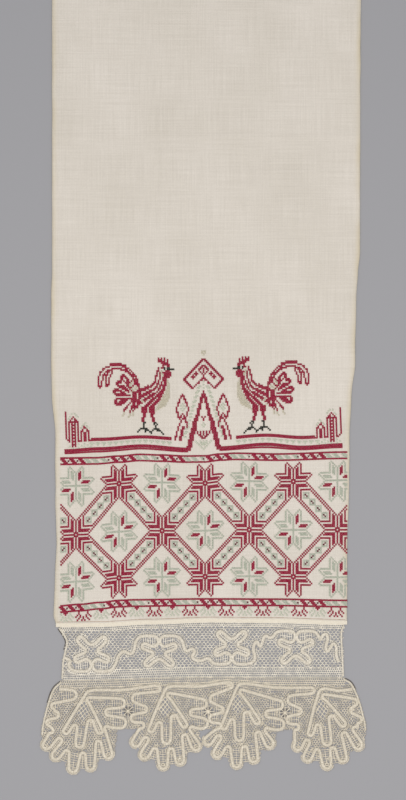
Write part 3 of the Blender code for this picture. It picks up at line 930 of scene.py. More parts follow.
# Posts at the far end: a line, a tall post and a short one, each with a beaded core
POSTS_NEARER = 2
strokes("crimson", ((92, 28), (92, 12), (90, 10)), nearer=1)
strokes("crimson", ((90, 10), (90, 21), (87, 25), (84, 21), (84, 10), (82, 10)),
        ((82, 10), (82, 15), (79.5, 18.5), (77, 15), (77, 10), (76, 10)), nearer=POSTS_NEARER)
strokes("pale green", ((90, 24), (87, 28), (84, 24)), ((82, 18), (79, 21), (77, 18)), every=2,
        nearer=POSTS_NEARER)
strokes("crimson", ((86, 22), (86, 7)), ((88, 22), (88, 7)), ((79, 15), (79, 10)),
        ((80, 15), (80, 10)), nearer=POSTS_NEARER)
strokes("crimson", ((87, 22), (87, 8)), every=2, nearer=POSTS_NEARER)
print("with the gable and the posts:", len(chart), "stitches")

# %% [markdown]
# ## The two roosters
#
# Facing birds are a common motif of such towels. The bird is a handful of strokes: stripes
# that run down the neck and fan out over the body, a breast edge, legs, two hanging plumes
# and four oval tail feathers. The stripes are worked out between the back and the breast,
# so that they close up in the neck and spread in the body, as counted stripes do.

# %% Chart one rooster and turn it over
BACK = ((29.5, 55), (31, 52), (32, 47.5), (33.5, 44.5), (37, 42.5), (42, 40.5))
BREAST = ((25.5, 50), (25, 47), (25.5, 43.5), (27, 39.5), (30, 34.5), (34.5, 29.5))
# Stripes of the neck: share of the way from back to breast at their top and at their foot,
# the point of the back where they begin, and where they run on to
NECK_STRIPES = (
    (0.0, 0.0, 0, (44, 40)),
    (0.36, 0.27, 0, (42.5, 36)),
    (0.7, 0.5, 0, (41.5, 32.5)),
    (0.8, 0.76, 3, (39, 30)),
)
WIDE_FROM = 4
FEATHER_ROOT = Vector((45.5, 37.0))
FEATHER_START = 0.38
FEATHER_POINTS = 24
# Tips of the oval tail feathers: out, row, and half their width
FEATHER_TIPS = ((54.5, 51.0, 2.5), (58.0, 47.0, 2.6), (60.5, 40.8, 2.7), (59.8, 33.6, 2.8))
# Plumes: an outer and an inner edge, from the body to the hanging tip
LONG_PLUME = (
    ((43, 40), (43.5, 45.5), (46, 50.5), (49, 54), (53, 56), (57, 57.2), (61, 57), (65.5, 55.3),
     (68.5, 52.5), (70, 48.5), (69.8, 45), (69, 43)),
    ((45, 45), (47.5, 50), (51, 53), (56, 54.6), (61, 54.6), (65, 53), (67, 50), (67.6, 47),
     (68, 44)),
)
SHORT_PLUME = (
    ((52, 54), (58, 54.8), (62, 54), (64.5, 51), (65, 44)),
    ((61, 52.5), (62.3, 50), (63, 47), (64, 44)),
)


def feather(tip, half):
    """The oval of a tail feather, from a share of its length to its tip."""
    along = tip - FEATHER_ROOT
    side = Vector((-along.y, along.x)).normalized()
    loop = []
    for step in range(FEATHER_POINTS + 1):
        turn = 2.0 * math.pi * step / FEATHER_POINTS
        share = (1.0 + FEATHER_START) / 2 - (1.0 - FEATHER_START) / 2 * math.cos(turn)
        loop.append(FEATHER_ROOT + along * share + side * half * math.sin(turn))
    return loop


for out, row, half in FEATHER_TIPS:
    tip = Vector((out, row))
    sew(both_sides(squares_inside(feather(tip, half))), "crimson")
    curl = [FEATHER_ROOT.lerp(tip, share) + Vector((0.0, lift))
            for share, lift in ((0.7, 0.6), (0.82, 0.2))]
    mirrored_stroke(curl, "linen")
    mirrored_stroke((FEATHER_ROOT, FEATHER_ROOT.lerp(tip, 0.5)), "crimson")
for (out, row, _), (next_out, next_row, _) in zip(FEATHER_TIPS, FEATHER_TIPS[1:]):
    gap = Vector(((out + next_out) / 2, (row + next_row) / 2))
    near = FEATHER_ROOT.lerp(gap, 0.2)
    mirrored_stroke((near, near.lerp(gap, 0.75)), "linen")
strokes("beige", ((45, 46), (48, 42)), ((46, 48), (49, 44)), ((44, 43), (48, 40)))
strokes("crimson", ((47, 49), (50, 44)), ((46, 45), (50, 41)), every=2)
strokes("crimson", *LONG_PLUME, *SHORT_PLUME, ((44, 44), (46, 48), (49, 52), (52, 54)),
        curved=True)
strokes("crimson", ((52, 57), (57, 58), (62, 58)))

for high, low, begins, end in NECK_STRIPES:
    stripe = [Vector(back).lerp(Vector(front), high + (low - high) * step / (len(BACK) - 1))
              for step, (back, front) in enumerate(zip(BACK, BREAST))] + [Vector(end)]
    mirrored_stroke(stripe[begins:], "crimson", curved=True)
    mirrored_stroke(stripe[WIDE_FROM:], "crimson", width=2, curved=True)
mirrored_stroke(BREAST, "crimson", width=2, curved=True)
strokes("crimson", ((44.5, 40), (46, 30)), ((41.5, 39), (44, 29.5)), width=2)
squares("beige", (40, 34), (41, 34), (41, 35), (42, 31), (41, 30))
for out, row in ((53, 28), (49, 27), (46.5, 28)):
    mirrored_stroke((FEATHER_ROOT, (out, row)), "crimson")
    mirrored_stroke(((out, row - 1), (out + 0.5, row - 3)), "beige")

# Breast shadow, head, comb and wattle
sew(both_sides(squares_inside(
    ((24.5, 48), (22.5, 45), (22.6, 36), (25.5, 31), (32.5, 27.5), (29, 34), (26, 39), (24.2, 44)))),
    "beige")
sew(both_sides(squares_inside(
    ((26.2, 53.2), (22.6, 53.2), (21.4, 51), (22.6, 48.4), (25, 48.6), (26.4, 51)))), "crimson")
strokes("crimson", ((30, 59), (27, 58), (23, 56)), width=2)
squares("crimson", (30, 61), (28, 60), (28, 61), (26, 60), (26, 61), (24, 59), (24, 60), (27, 55),
        (27, 56), (27, 57), (28, 55))
squares("beige", (28, 53), (28, 52), (27, 50), (27, 51), (28, 51))
squares("linen", (25, 54), (27, 54), (26, 53))
squares("black", (26, 54), (26, 55), (24, 55), (23, 55), (24, 54), (23, 54))
strokes("black", ((22, 54), (20, 54)))

# Legs and feet
LEGS = (
    ((37.8, 29.5), (38.2, 27), (39.2, 25), (40, 20.5), (40.2, 16.5),
     ((44, 14), (39, 14), (35.4, 13.4))),
    ((33, 29.5), (32.6, 27), (33.8, 25), (33, 20.5), (31.6, 16.5),
     ((35.2, 14), (31, 14.6), (27, 12.6))),
)
for hip, thigh, knee, ankle, heel, toes in LEGS:
    mirrored_stroke((hip, thigh), "crimson", width=4)
    mirrored_stroke((thigh, knee, ankle), "crimson", width=2)
    mirrored_stroke(((ankle[0], ankle[1] - 1), heel), "black")
    mirrored_stroke(((ankle[0] - 1, 20), (heel[0] - 0.6, 18)), "black", every=2)
    for toe in toes:
        knuckle = ((heel[0] + toe[0]) / 2, (heel[1] + toe[1]) / 2 + 0.5)
        mirrored_stroke((heel, knuckle, toe), "black")
# What was only kept free for the linen isn't sewn
chart = {cell: thread for cell, thread in chart.items() if thread != "linen"}
print("whole chart:", len(chart), "stitches")

# %% [markdown]
# ## Embroidery cotton
#
# The threads are soft twisted cotton, dyed in the yarn: a strong crimson that has bled a
# little into the cloth, a green that has faded to grey, and a little black and beige. Spun
# cotton scatters light evenly and has a faint halo of fibres, which the sheen gives. The
# dye is uneven along a thread, so noise shifts the colour from stitch to stitch.

# %% Finish the threads and sew them
THREADS = {
    "crimson": ("#840C2C", "#A0173F"),
    "dark red": ("#4A1824", "#6E2334"),
    "green": ("#A4A998", "#BFC2B2"),
    "pale green": ("#B7BBA7", "#CACBBA"),
    "black": ("#1B1E1A", "#2E302A"),
    "beige": ("#BBB39E", "#CAC3B0"),
}
# Piece of stitches, its thread
STITCH_PIECES = (
    ("field_crimson", "crimson"),
    ("figures_crimson", "crimson"),
    ("green", "green"),
    ("pale_green", "pale green"),
    ("dark_red", "dark red"),
    ("black", "black"),
    ("beige", "beige"),
)
# A stitch: its share of a square of the chart, its thread, its rise and its place on the cloth
STITCH_SHARE = 0.94
STITCH_THREAD = 0.62
STITCH_RISE = 0.55
STITCH_LIFT = 0.06


def cotton_finish(name, dark, light):
    """Soft cotton whose dye is uneven from stitch to stitch."""
    made, tree, shader, place = new_finish(name + " embroidery cotton", 0.85, 0.05)
    uneven = between(tree, cloudy(tree, place, (2.6, 2.6, 2.6), 3.0, 0.6), 0.3, 0.7)
    patches = between(tree, cloudy(tree, place, (28, 28, 28)), 0.3, 0.7)
    colour = mixed(tree, uneven, dark, light)
    colour = mixed(tree, patches, colour, mixed(tree, 0.25, colour, light))
    tree.links.new(colour, shader.inputs["Base Color"])
    shader.inputs["Specular IOR Level"].default_value = 0.1
    fibres(tree, place, shader, 0.35, 0.4)
    return made


def on_cloth(across, up, lift):
    """A place lifted a little off the top of the cloth, whose lower rows wave."""
    level = up
    if up < WAVE_FADES_AT:
        level = up - (wave(across) + BAND_WIDTH / 2) * (1.0 - up / WAVE_FADES_AT)
    return (across, up, cloth_top(across, level) + lift)


cottons = {name: cotton_finish(name, *pair) for name, pair in THREADS.items()}
for name, thread in STITCH_PIECES:
    cells = [cell for cell, used in chart.items() if used == thread]
    if thread == "crimson":
        cells = [cell for cell in cells if (cell[1] <= 0) == (name == "field_crimson")]
    places = [on_cloth(*stitch_place(*cell), STITCH_LIFT) for cell in sorted(cells)]
    grow(
        "stitches_" + name, cross_stitch, mesh_of("stitches_" + name, places),
        width=COLUMN_PITCH * STITCH_SHARE * MM, height=ROW_PITCH * STITCH_SHARE * MM,
        thread=STITCH_THREAD * MM, rise=STITCH_RISE * MM, turn=0.07, seed=11,
        material=cottons[thread])
print("sewn:", len(chart), "stitches")

# %% [markdown]
# ## The line of braid
#
# Tape lace starts with one narrow woven tape. The lacemaker bends it along a drawn line,
# tacks it down, and then fills the spaces between with thread. So the tape is one long
# route, and its bends are listed: where each U-turn lies, how wide it is and which way its
# top faces. A figure of the insertion is one half, turned over. A fan is one table, leaned
# and stretched a little each time, as no two fans were laid quite alike.

# %% List the bends of the tape
BRAID_WIDTH = 4.2
LONGEST_STEP = 2.5
WIDEST_BEND = 14.0
# A bend: centre across, centre up, radius, the way its top faces in degrees, and +1 where
# the tape turns left or -1 where it turns right. Half a figure, from its own centre:
FIGURE_BENDS = (
    (-7.3, 14.0, 6.4, 0.0, -1),
    (-17.2, 7.6, 3.5, 174.0, 1),
    (-10.6, -1.6, 3.2, 0.0, -1),
    (-13.9, -12.8, 3.5, 226.0, 1),
)
FIGURE_WAIST = -7.6
FIGURE_SHOULDER = ((-28.0, 14.0), (-22.5, 19.5))
# The four figures: centre across, centre up, which way up, how much taller than the table
FIGURES = (
    (-134.0, -35.5, -1, 1.14),
    (-52.5, -36.5, 1, 1.0),
    (35.5, -28.0, -1, 1.08),
    (113.0, -32.0, 1, 1.07),
)
# The tape before, between and after the figures: across, up
JOINERS = (
    ((-168.0, -42.0), (-160.0, -46.5)),
    ((-102.0, -41.0), (-98.0, -36.0), (-93.5, -35.0), (-89.5, -37.5), (-84.5, -36.5),
     (-82.0, -30.0)),
    ((-22.0, -31.0), (-18.5, -34.5), (-13.0, -31.5), (-9.5, -35.0), (-12.5, -41.0),
     (-8.0, -45.5), (0.0, -45.5)),
    ((61.5, -33.0), (63.0, -25.5), (66.0, -23.0), (69.0, -28.5), (72.0, -25.0), (74.5, -17.5),
     (77.5, -16.0), (81.0, -18.5)),
    ((142.5, -20.0), (145.5, -15.5), (149.5, -14.0), (151.5, -19.0), (149.5, -28.0),
     (150.5, -34.0), (154.5, -31.0), (158.0, -25.5), (161.5, -29.0), (162.0, -40.0),
     (165.0, -48.0)),
)
# The fans: hub across, hub up, lean in degrees, stretch
FANS = (
    (-141.2, -84.1, -8.0, 1.005),
    (-45.1, -79.3, 0.0, 1.0),
    (42.2, -75.6, 1.0, 1.017),
    (141.2, -81.7, 7.5, 0.975),
)
# Lobes of a fan: lean of the tip seen from the hub, reach of the tip, the way it faces,
# all from straight down and + to the right. Then the valleys between them.
LOBE_RADIUS = 5.0
LOBES = (
    (-29.5, 79.0, -46.0),
    (-18.0, 89.0, -30.0),
    (-1.6, 97.5, -2.0),
    (11.3, 93.5, 8.0),
    (27.5, 84.0, 23.0),
)
END_LOBE_EXTRA = 4.5
VALLEY_RADIUS = 3.2
VALLEYS = ((-19.7, 63.5), (-9.2, 73.5), (5.5, 73.0), (22.2, 60.5))
# Palm of a fan, from its hub
PALM_BENDS = (
    (5.4, -8.6, 2.8, 170.0, 1),
    (23.0, -44.0, 3.4, -62.0, -1),
    (11.0, -36.3, 3.8, 90.0, 1),
    (1.3, -62.3, 5.0, -90.0, -1),
    (-7.4, -44.2, 3.1, 90.0, 1),
    (-17.0, -50.0, 3.2, -110.0, -1),
)
# Wheels between the fans: centre across, centre up, spread of the bends beside them
WHEELS = ((-90.1, -107.1, 1.15), (6.7, -107.7, 0.88), (99.8, -109.1, 0.97))
LEFT_OF_WHEEL = (
    (-21.8, -21.0, 3.1, 125.0, -1),
    (-7.9, -14.0, 6.4, 0.0, 1),
    (-20.0, -1.2, 4.2, 180.0, -1),
    (-8.5, 9.7, 5.6, 0.0, 1),
)
RIGHT_OF_WHEEL = (
    (9.5, 15.4, 5.8, 180.0, 1),
    (16.3, 2.4, 4.1, 0.0, -1),
    (7.5, -8.5, 5.0, 180.0, 1),
    (13.7, -17.3, 3.6, -20.0, -1),
)
HUB_BEND = (-9.5, -0.5, 3.6, 0.0, -1)
# The bends at the two ends of the edging, where there is no wheel
LEFT_END = (
    (-158.5, -87.4, 5.8, 0.0, -1),
    (-179.5, -101.0, 3.4, 180.0, 1),
    (-178.5, -111.3, 4.4, 0.0, -1),
    (-184.5, -121.0, 4.3, 180.0, 1),
    (-184.0, -130.5, 3.4, -20.0, -1),
)
RIGHT_END = (
    (185.0, -129.0, 3.2, 120.0, -1),
    (187.5, -117.4, 4.8, 0.0, 1),
    (183.3, -106.0, 4.3, 180.0, -1),
    (182.5, -96.5, 4.6, 0.0, 1),
)
LEFT_START = (-173.5, -80.5)
RIGHT_FINISH = (181.5, -80.5)
HEADING_SAG = 2.0

# %% [markdown]
# ## The route of the tape
#
# A route is a chain of points: five on each bend, and a few on the way from one bend to the
# next. A smooth curve through them is the middle line of the tape. Each bend is noted on the
# way, because bars are worked across it later.

# %% Lay the route of the tape
bends_met = {"insertion": [], "edging": []}


def towards(degrees, length=1.0):
    """A step in the plane. Degrees run anticlockwise from +X."""
    angle = math.radians(degrees)
    return Vector((math.cos(angle) * length, math.sin(angle) * length))


def turned(step, degrees):
    """A step in the plane, turned anticlockwise."""
    angle = math.radians(degrees)
    return Vector((
        step.x * math.cos(angle) - step.y * math.sin(angle),
        step.x * math.sin(angle) + step.y * math.cos(angle),
    ))


def bend_points(bend, centre=Vector((0.0, 0.0)), turn=0.0, spread=1.0, noted=True):
    """Way in, flank, top, flank and way out of one U-turn. A noted one gets bars later."""
    across, up, radius, facing, sense = bend
    middle = centre + turned(Vector((across * spread, up)), turn)
    if noted:
        bends_met["edging"].append((middle, radius, facing + turn))
    angles = (-90.0, -45.0, 0.0, 45.0, 90.0)
    return [middle + towards(facing + turn + sense * angle, radius) for angle in angles]


def insertion_route():
    """The one line of tape through the four figures of the insertion."""
    points = []
    for number, (across, up, flip, taller) in enumerate(FIGURES):
        points += [Vector(place) for place in JOINERS[number]]
        centre = Vector((across, up))
        half = [Vector(place) for place in FIGURE_SHOULDER]
        for bend in FIGURE_BENDS:
            half += bend_points(bend, noted=False)
        half.append(Vector((0.0, FIGURE_WAIST)))
        half = [centre + Vector((place.x, place.y * flip * taller)) for place in half]
        for across_by, up_by, radius, facing, _ in FIGURE_BENDS:
            for side in (1, -1):
                middle = centre + Vector((across_by * side, up_by * flip * taller))
                faced = towards(facing)
                faces = math.degrees(math.atan2(faced.y * flip, faced.x * side))
                bends_met["insertion"].append((middle, radius, faces))
        points += half
        points += [Vector((2 * across - place.x, place.y)) for place in reversed(half[:-1])]
    points += [Vector(place) for place in JOINERS[-1]]
    return curve_through(points, LONGEST_STEP, WIDEST_BEND)


def lobe_centres(number):
    """Middle of the round end of each lobe of a fan."""
    across, up, lean, stretch = FANS[number]
    centres = []
    for lobe, (tip_lean, reach, facing) in enumerate(LOBES):
        if (number, lobe) in ((0, 0), (len(FANS) - 1, len(LOBES) - 1)):
            reach += END_LOBE_EXTRA
        tip = Vector((across, up)) + towards(lean + tip_lean - 90.0, reach * stretch)
        centres.append(tip - towards(lean + facing - 90.0, LOBE_RADIUS))
    return centres


def fan_lobes(number):
    """The tape round the five lobes of a fan."""
    across, up, lean, stretch = FANS[number]
    hub = Vector((across, up))
    points = []
    for lobe, middle in enumerate(lobe_centres(number)):
        facing = LOBES[lobe][2]
        points += bend_points((*middle, LOBE_RADIUS, lean + facing - 90.0, 1))
        if lobe < len(VALLEYS):
            valley_lean, valley_reach = VALLEYS[lobe]
            facing = lean + (facing + LOBES[lobe + 1][2]) / 2 + 90.0
            top = hub + towards(lean + valley_lean - 90.0, valley_reach * stretch)
            middle = top - towards(facing, VALLEY_RADIUS)
            points += bend_points((*middle, VALLEY_RADIUS, facing, -1))
    return points


def heading(start, end):
    """The nearly straight tape from one hub to the next."""
    middle = (start + end) / 2 - Vector((0.0, HEADING_SAG))
    return [start + (middle - start) * 0.5 + Vector((0.0, 0.5)), middle, end]


def beside_wheel(number, bends):
    """The tape's bends on one side of a wheel."""
    across, up, spread = WHEELS[number]
    centre = Vector((across, up))
    return [place for bend in bends for place in bend_points(bend, centre, spread=spread)]


def edging_route():
    """The one line of tape through the fans and round the wheels."""
    points = [Vector(LEFT_START)]
    for number, (across, up, lean, _) in enumerate(FANS):
        hub = Vector((across, up))
        if number == 0:
            for bend in LEFT_END:
                points += bend_points(bend)
        else:
            points += bend_points(HUB_BEND, hub) + beside_wheel(number - 1, RIGHT_OF_WHEEL)
        points += fan_lobes(number)
        if number < len(WHEELS):
            points += beside_wheel(number, LEFT_OF_WHEEL)
        else:
            for bend in RIGHT_END:
                points += bend_points(bend)
        for bend in PALM_BENDS:
            points += bend_points(bend, hub, turn=lean)
        points.append(hub + Vector((-1.0, -4.0)))
        points.append(hub + Vector((4.0, 1.5)))
        if number < len(WHEELS):
            after = Vector(FANS[number + 1][:2])
            points += heading(hub + Vector((6.0, 1.5)), after + Vector((-14.0, 3.0)))
        else:
            points += heading(hub + Vector((6.0, 1.5)), Vector(RIGHT_FINISH))
    return curve_through(points, LONGEST_STEP, WIDEST_BEND)


insertion_line = insertion_route()
edging_line = edging_route()


def length_of(line):
    """Length of a line in millimetres."""
    return sum((end - start).length for start, end in zip(line, line[1:]))


print("tape of the insertion:", round(length_of(insertion_line)), "mm")
print("tape of the edging:", round(length_of(edging_line)), "mm")

# %% [markdown]
# ## The outline of each lace
#
# The net has to stop somewhere: at the sides, where a second tape runs down the edge, at the
# seam between the two laces, and round the scallops of the fans. The outline is worked out
# from the same bends as the tape, so the two can't disagree.

# %% Work out the outlines
PIECE_GAP = 0.3
EDGE_INSET = 1.4
PICOTS = 1.1
TIP_ARC = 84.0
LOBE_SIDES = 10
NOTCH_ANGLE = 38.0
NOTCH_EASE = 1.0
SEAM_STEPS = 24
BAND_STEPS = 60
LACE_SEAM = ((-172.0, -69.8), (0.0, -66.0), (172.0, -66.4))
INSERTION_LEFT = (
    (-174.5, -7.0),
    (-165.5, -22.0),
    (-167.0, -33.0),
    (-169.5, -45.0),
    (-170.5, -56.0),
    (-171.0, -68.0),
)
INSERTION_RIGHT = ((172.0, -4.0), (169.5, -11.5), (170.0, -33.0), (171.0, -52.0), (171.5, -65.0))
EDGING_LEFT = (
    (-171.5, -71.0),
    (-179.0, -77.5),
    (-183.0, -84.0),
    (-187.5, -97.0),
    (-191.5, -112.0),
    (-194.5, -126.0),
    (-195.5, -136.0),
)
EDGING_RIGHT = (
    (171.5, -67.5),
    (179.5, -72.0),
    (185.0, -81.0),
    (190.0, -93.0),
    (194.0, -107.0),
    (197.5, -121.0),
    (198.5, -130.0),
)


def seam(across):
    """Height of the seam between the two laces."""
    return eased(across, LACE_SEAM, 1)


def seam_points(start, end, drop):
    """Points along the join of the two laces, without the two ends."""
    places = [start + (end - start) * step / SEAM_STEPS for step in range(1, SEAM_STEPS)]
    return [Vector((place, seam(place) + drop)) for place in places]


def insertion_outline():
    """The straight strip of net, anticlockwise from its lower left corner."""
    left = [Vector(place) for place in INSERTION_LEFT]
    right = [Vector(place) for place in INSERTION_RIGHT]
    lower = seam_points(left[-1].x, right[-1].x, PIECE_GAP / 2)
    upper = []
    for step in range(BAND_STEPS + 1):
        across = right[0].x + (left[0].x - right[0].x) * step / BAND_STEPS
        upper.append(Vector((across, wave(across) - BAND_WIDTH / 2)))
    return left[1:] + lower + right[:0:-1] + upper


def heading_of(step):
    """Direction of a step in degrees, from -270 up to 90, so that down lies mid-range."""
    angle = math.degrees(math.atan2(step.y, step.x))
    return angle - 360.0 if angle > 90.0 else angle


def lobe_arc(number, lobe, radius):
    """The round end of a lobe at a radius, cut short where the next lobe meets it."""
    centres = lobe_centres(number)
    faces = FANS[number][2] + LOBES[lobe][2] - 90.0
    start, end = faces - TIP_ARC, faces + TIP_ARC
    if lobe:
        start = heading_of(centres[lobe - 1] - centres[lobe]) + NOTCH_ANGLE
    if lobe + 1 < len(centres):
        end = heading_of(centres[lobe + 1] - centres[lobe]) - NOTCH_ANGLE
    turns = [start + (end - start) * step / LOBE_SIDES for step in range(LOBE_SIDES + 1)]
    return [centres[lobe] + towards(turn, radius) for turn in turns]


def scallops(number):
    """Outline round the five lobes of a fan, with a notch between each two."""
    centres = lobe_centres(number)
    outline = []
    for lobe, middle in enumerate(centres):
        if lobe:
            faces = FANS[number][2] + LOBES[lobe][2] + 90.0
            outline.append((centres[lobe - 1] + middle) / 2 + towards(faces, NOTCH_EASE))
        outline += lobe_arc(number, lobe, LOBE_RADIUS + BRAID_WIDTH / 2 + PICOTS)
    return outline


def wheel_notch(number):
    """Outline of the small gap between two fans, below a wheel."""
    across, up, spread = WHEELS[number]
    reach = BRAID_WIDTH / 2 + PICOTS
    left = LEFT_OF_WHEEL[1]
    right = RIGHT_OF_WHEEL[-1]
    low_left = Vector((across + left[0] * spread - 4.0, up + left[1] - left[2] - reach))
    low_right = Vector((across + right[0] * spread - 4.0, up + right[1] - right[2]))
    return [low_left, (low_left + low_right) / 2 + Vector((0.0, 1.5)), low_right]


def edging_outline():
    """The scalloped lace, anticlockwise from its upper left corner."""
    outline = [Vector(place) for place in EDGING_LEFT]
    for number in range(len(FANS)):
        outline += scallops(number)
        if number < len(WHEELS):
            outline += wheel_notch(number)
    right = [Vector(place) for place in EDGING_RIGHT]
    outline += right[::-1]
    return outline + seam_points(right[0].x, outline[0].x, -PIECE_GAP / 2)


def area_inside(outline):
    """Area of a closed outline, in square millimetres."""
    pairs = zip(outline, outline[1:] + outline[:1])
    return abs(sum(a.x * b.y - b.x * a.y for a, b in pairs)) / 2.0


insertion_edge = insertion_outline()
edging_edge = edging_outline()
print("areas:", round(area_inside(insertion_edge)), round(area_inside(edging_edge)), "mm2")

# %% [markdown]
# ## Tape grown along its route
#
# The tape is woven: a few warp threads run along it, and a weft crosses them to and fro, so
# its surface is fine cross ribs and its edges are slightly scalloped. The tree resamples the
# route at half the rib spacing, makes every second point a little narrower and lower, and
# sweeps a flat section with three ridges along it.

# %% Build the tape tree and grow the tapes
RIB_PITCH = 1.15
SIDE_WIDTH = 2.6
TAPE_SPREAD = 1.08
RIB_WAIST = 0.84
TAPE_LEVEL = 1.25
# Heights between which a thread's colour passes from painted shade into its own colour
SHADED_BELOW = 0.45
LIT_ABOVE = 1.02
# The tape's section, top and underside: share of the half width, height in millimetres
SECTION_TOP = ((-1.0, 0.0), (-0.78, 0.42), (-0.42, 0.36), (0.0, 0.5), (0.42, 0.36), (0.78, 0.42),
               (1.0, 0.0))
SECTION_LOW = ((0.5, -0.42), (-0.5, -0.42))


def tape_section(width):
    """The section of a tape, as a closed loop of points."""
    loop = [(share * width / 2, height) for share, height in SECTION_TOP + SECTION_LOW]
    mesh = bpy.data.meshes.new("tape section")
    count = len(loop)
    edges = [(step, (step + 1) % count) for step in range(count)]
    mesh.from_pydata([(x * MM, y * MM, 0.0) for x, y in loop], edges, [])
    section = object_of("tape_section", mesh)
    section.hide_render = True
    return section


def follow_radius(tree, swept, radius):
    """Let a swept section follow the radius of its curve."""
    for socket in swept.inputs:
        if socket.name == "Scale":
            tree.links.new(radius, socket)


def tape_tree():
    """A tree that sweeps the tape's section along a route, with cross ribs."""
    tree, given, out = new_tree("ribbed tape", {
        "Section": "NodeSocketObject", "Rib": "NodeSocketFloat", "Waist": "NodeSocketFloat",
        "Material": "NodeSocketMaterial"})
    route = add(tree, "GeometryNodeMeshToCurve", {"Mesh": given["Geometry"]})
    half_rib = maths(tree, "MULTIPLY", given["Rib"], 0.5)
    even = add(tree, "GeometryNodeResampleCurve", {
        "Curve": route.outputs[0], "Length": half_rib}, mode="LENGTH")
    flat = add(tree, "GeometryNodeSetCurveNormal", {"Curve": even.outputs[0]}, mode="Z_UP")
    count = add(tree, "GeometryNodeInputIndex")
    odd = maths(tree, "MODULO", count.outputs[0], 2.0)
    feeds = {"Value": odd, "To Min": 1.0, "To Max": given["Waist"]}
    radius = add(tree, "ShaderNodeMapRange", feeds)
    ribbed = add(tree, "GeometryNodeSetCurveRadius", {
        "Curve": flat.outputs[0], "Radius": radius.outputs[0]})
    shape = add(tree, "GeometryNodeObjectInfo", {"Object": given["Section"]})
    loop = add(tree, "GeometryNodeMeshToCurve", {"Mesh": shape.outputs["Geometry"]})
    swept = add(tree, "GeometryNodeCurveToMesh", {
        "Curve": ribbed.outputs[0], "Profile Curve": loop.outputs[0], "Fill Caps": True})
    follow_radius(tree, swept, radius.outputs[0])
    return close_tree(tree, swept.outputs[0], given, out)


def raised(lines, height):
    """Flat lines of places at a height. Places that have a height keep it."""
    return [[(*place[:2], place[2] if len(place) > 2 else height) for place in line]
            for line in lines]


def lines_mesh(name, lines):
    """A mesh of chains of edges, one for each line of places."""
    places, edges = [], []
    for line in lines:
        first = len(places)
        places += line
        edges += [(first + step, first + step + 1) for step in range(len(line) - 1)]
    return mesh_of(name, places, edges)


def beside(route, offset):
    """The route moved sideways by an offset, + to the left."""
    moved = []
    for number, place in enumerate(route):
        before = route[max(number - 1, 0)]
        after = route[min(number + 1, len(route) - 1)]
        along = (after - before).normalized()
        moved.append(place + Vector((-along.y, along.x)) * offset)
    return moved


def edge_tape(points, side):
    """The route of a tape down the side of a lace, just inside its edge."""
    line = curve_through([Vector(p) for p in points], LONGEST_STEP, WIDEST_BEND)
    return beside(line, side * EDGE_INSET)


def thread_finish(name, dark, light, grain):
    """Spun thread that is uneven from place to place, with painted shade where it lies low."""
    made, tree, shader, place = new_finish(name, 0.85, 0.2)
    patches = between(tree, cloudy(tree, place, (22, 22, 22)), 0.3, 0.7)
    uneven = between(tree, cloudy(tree, place, (grain, grain, grain), 3.0, 0.65), 0.3, 0.7)
    colour = mixed(tree, uneven, dark, light)
    colour = mixed(tree, patches, mixed(tree, 0.22, colour, dark), colour)
    height = add(tree, "ShaderNodeSeparateXYZ", {"Vector": place}).outputs["Z"]
    painted_shade_share = between(tree, height, SHADED_BELOW * MM, LIT_ABOVE * MM, 0.92, 0.0)
    # Painted shade: the colour darkens towards #6B6153 where the thread lies low
    colour = mixed(tree, painted_shade_share, colour, "#6B6153")
    tree.links.new(colour, shader.inputs["Base Color"])
    fibres(tree, place, shader, 0.4, 0.5)
    return made


# Every thread finish, for tapes and net alike, has painted shade on its low parts
tape_finishes = {
    "insertion": thread_finish("woven linen tape, ecru", "#A89E8A", "#EBE3D4", 1.5),
    "edging": thread_finish("woven linen tape, darker ecru", "#A59A84", "#E8DFCE", 1.5),
}
net_finishes = {
    "insertion": thread_finish("spun linen lace thread, ecru", "#D2C9B8", "#F8F1E3", 1.2),
    "edging": thread_finish("spun linen lace thread, darker ecru", "#C7BCA7", "#ECE2CF", 1.2),
}
ribbed_tape = tape_tree()
section = tape_section(BRAID_WIDTH * TAPE_SPREAD)
side_section = tape_section(SIDE_WIDTH)
side_tapes = {
    "insertion": [edge_tape(INSERTION_LEFT, 1), edge_tape(INSERTION_RIGHT, -1)],
    "edging": [edge_tape(EDGING_LEFT, 1), edge_tape(EDGING_RIGHT, -1)],
}
lace_lines = {"insertion": insertion_line, "edging": edging_line}
lace_tapes = {}
for lace, line in lace_lines.items():
    lace_tapes[lace] = []
    for name, lines, used in ((lace + "_tape", [line], section),
                              (lace + "_side_tape", side_tapes[lace], side_section)):
        lace_tapes[lace].append(grow(
            name, ribbed_tape, lines_mesh(name, raised(lines, TAPE_LEVEL)), section=used,
            rib=RIB_PITCH * MM, waist=RIB_WAIST, material=tape_finishes[lace]))

# %% [markdown]
# ## The open places
#
# Two kinds of opening are worked before the rest is filled in. Between the fans sits a wheel,
# and the palm of each fan holds a patch of open diamonds. Their centres are needed first, so
# that nothing else is laid across them.

# %% Place the wheels and the diamonds
DIAMOND_PITCH = 4.9
DIAMOND_ROW = 3.1
# Diamonds in each row of a patch, and the distance from the hub to its first row
DIAMOND_ROWS = (1, 2, 1, 2, 3, 2, 1)
DIAMOND_TOP = 13.5
SPOKES = 8
WHEEL_RADIUS = 6.2


def diamond_centres():
    """Middle and lean of every open diamond in the palms of the fans."""
    found = []
    for across, up, lean, _ in FANS:
        hub = Vector((across, up))
        for row, count in enumerate(DIAMOND_ROWS):
            for place in range(count):
                step = Vector((
                    (place - (count - 1) / 2) * DIAMOND_PITCH, -DIAMOND_TOP - row * DIAMOND_ROW))
                found.append((hub + turned(step, lean), lean))
    return found


wheel_centres = [Vector(wheel[:2]) for wheel in WHEELS]
open_places = [centre for centre, _ in diamond_centres()]
print("wheels:", len(wheel_centres), "diamonds:", len(open_places))


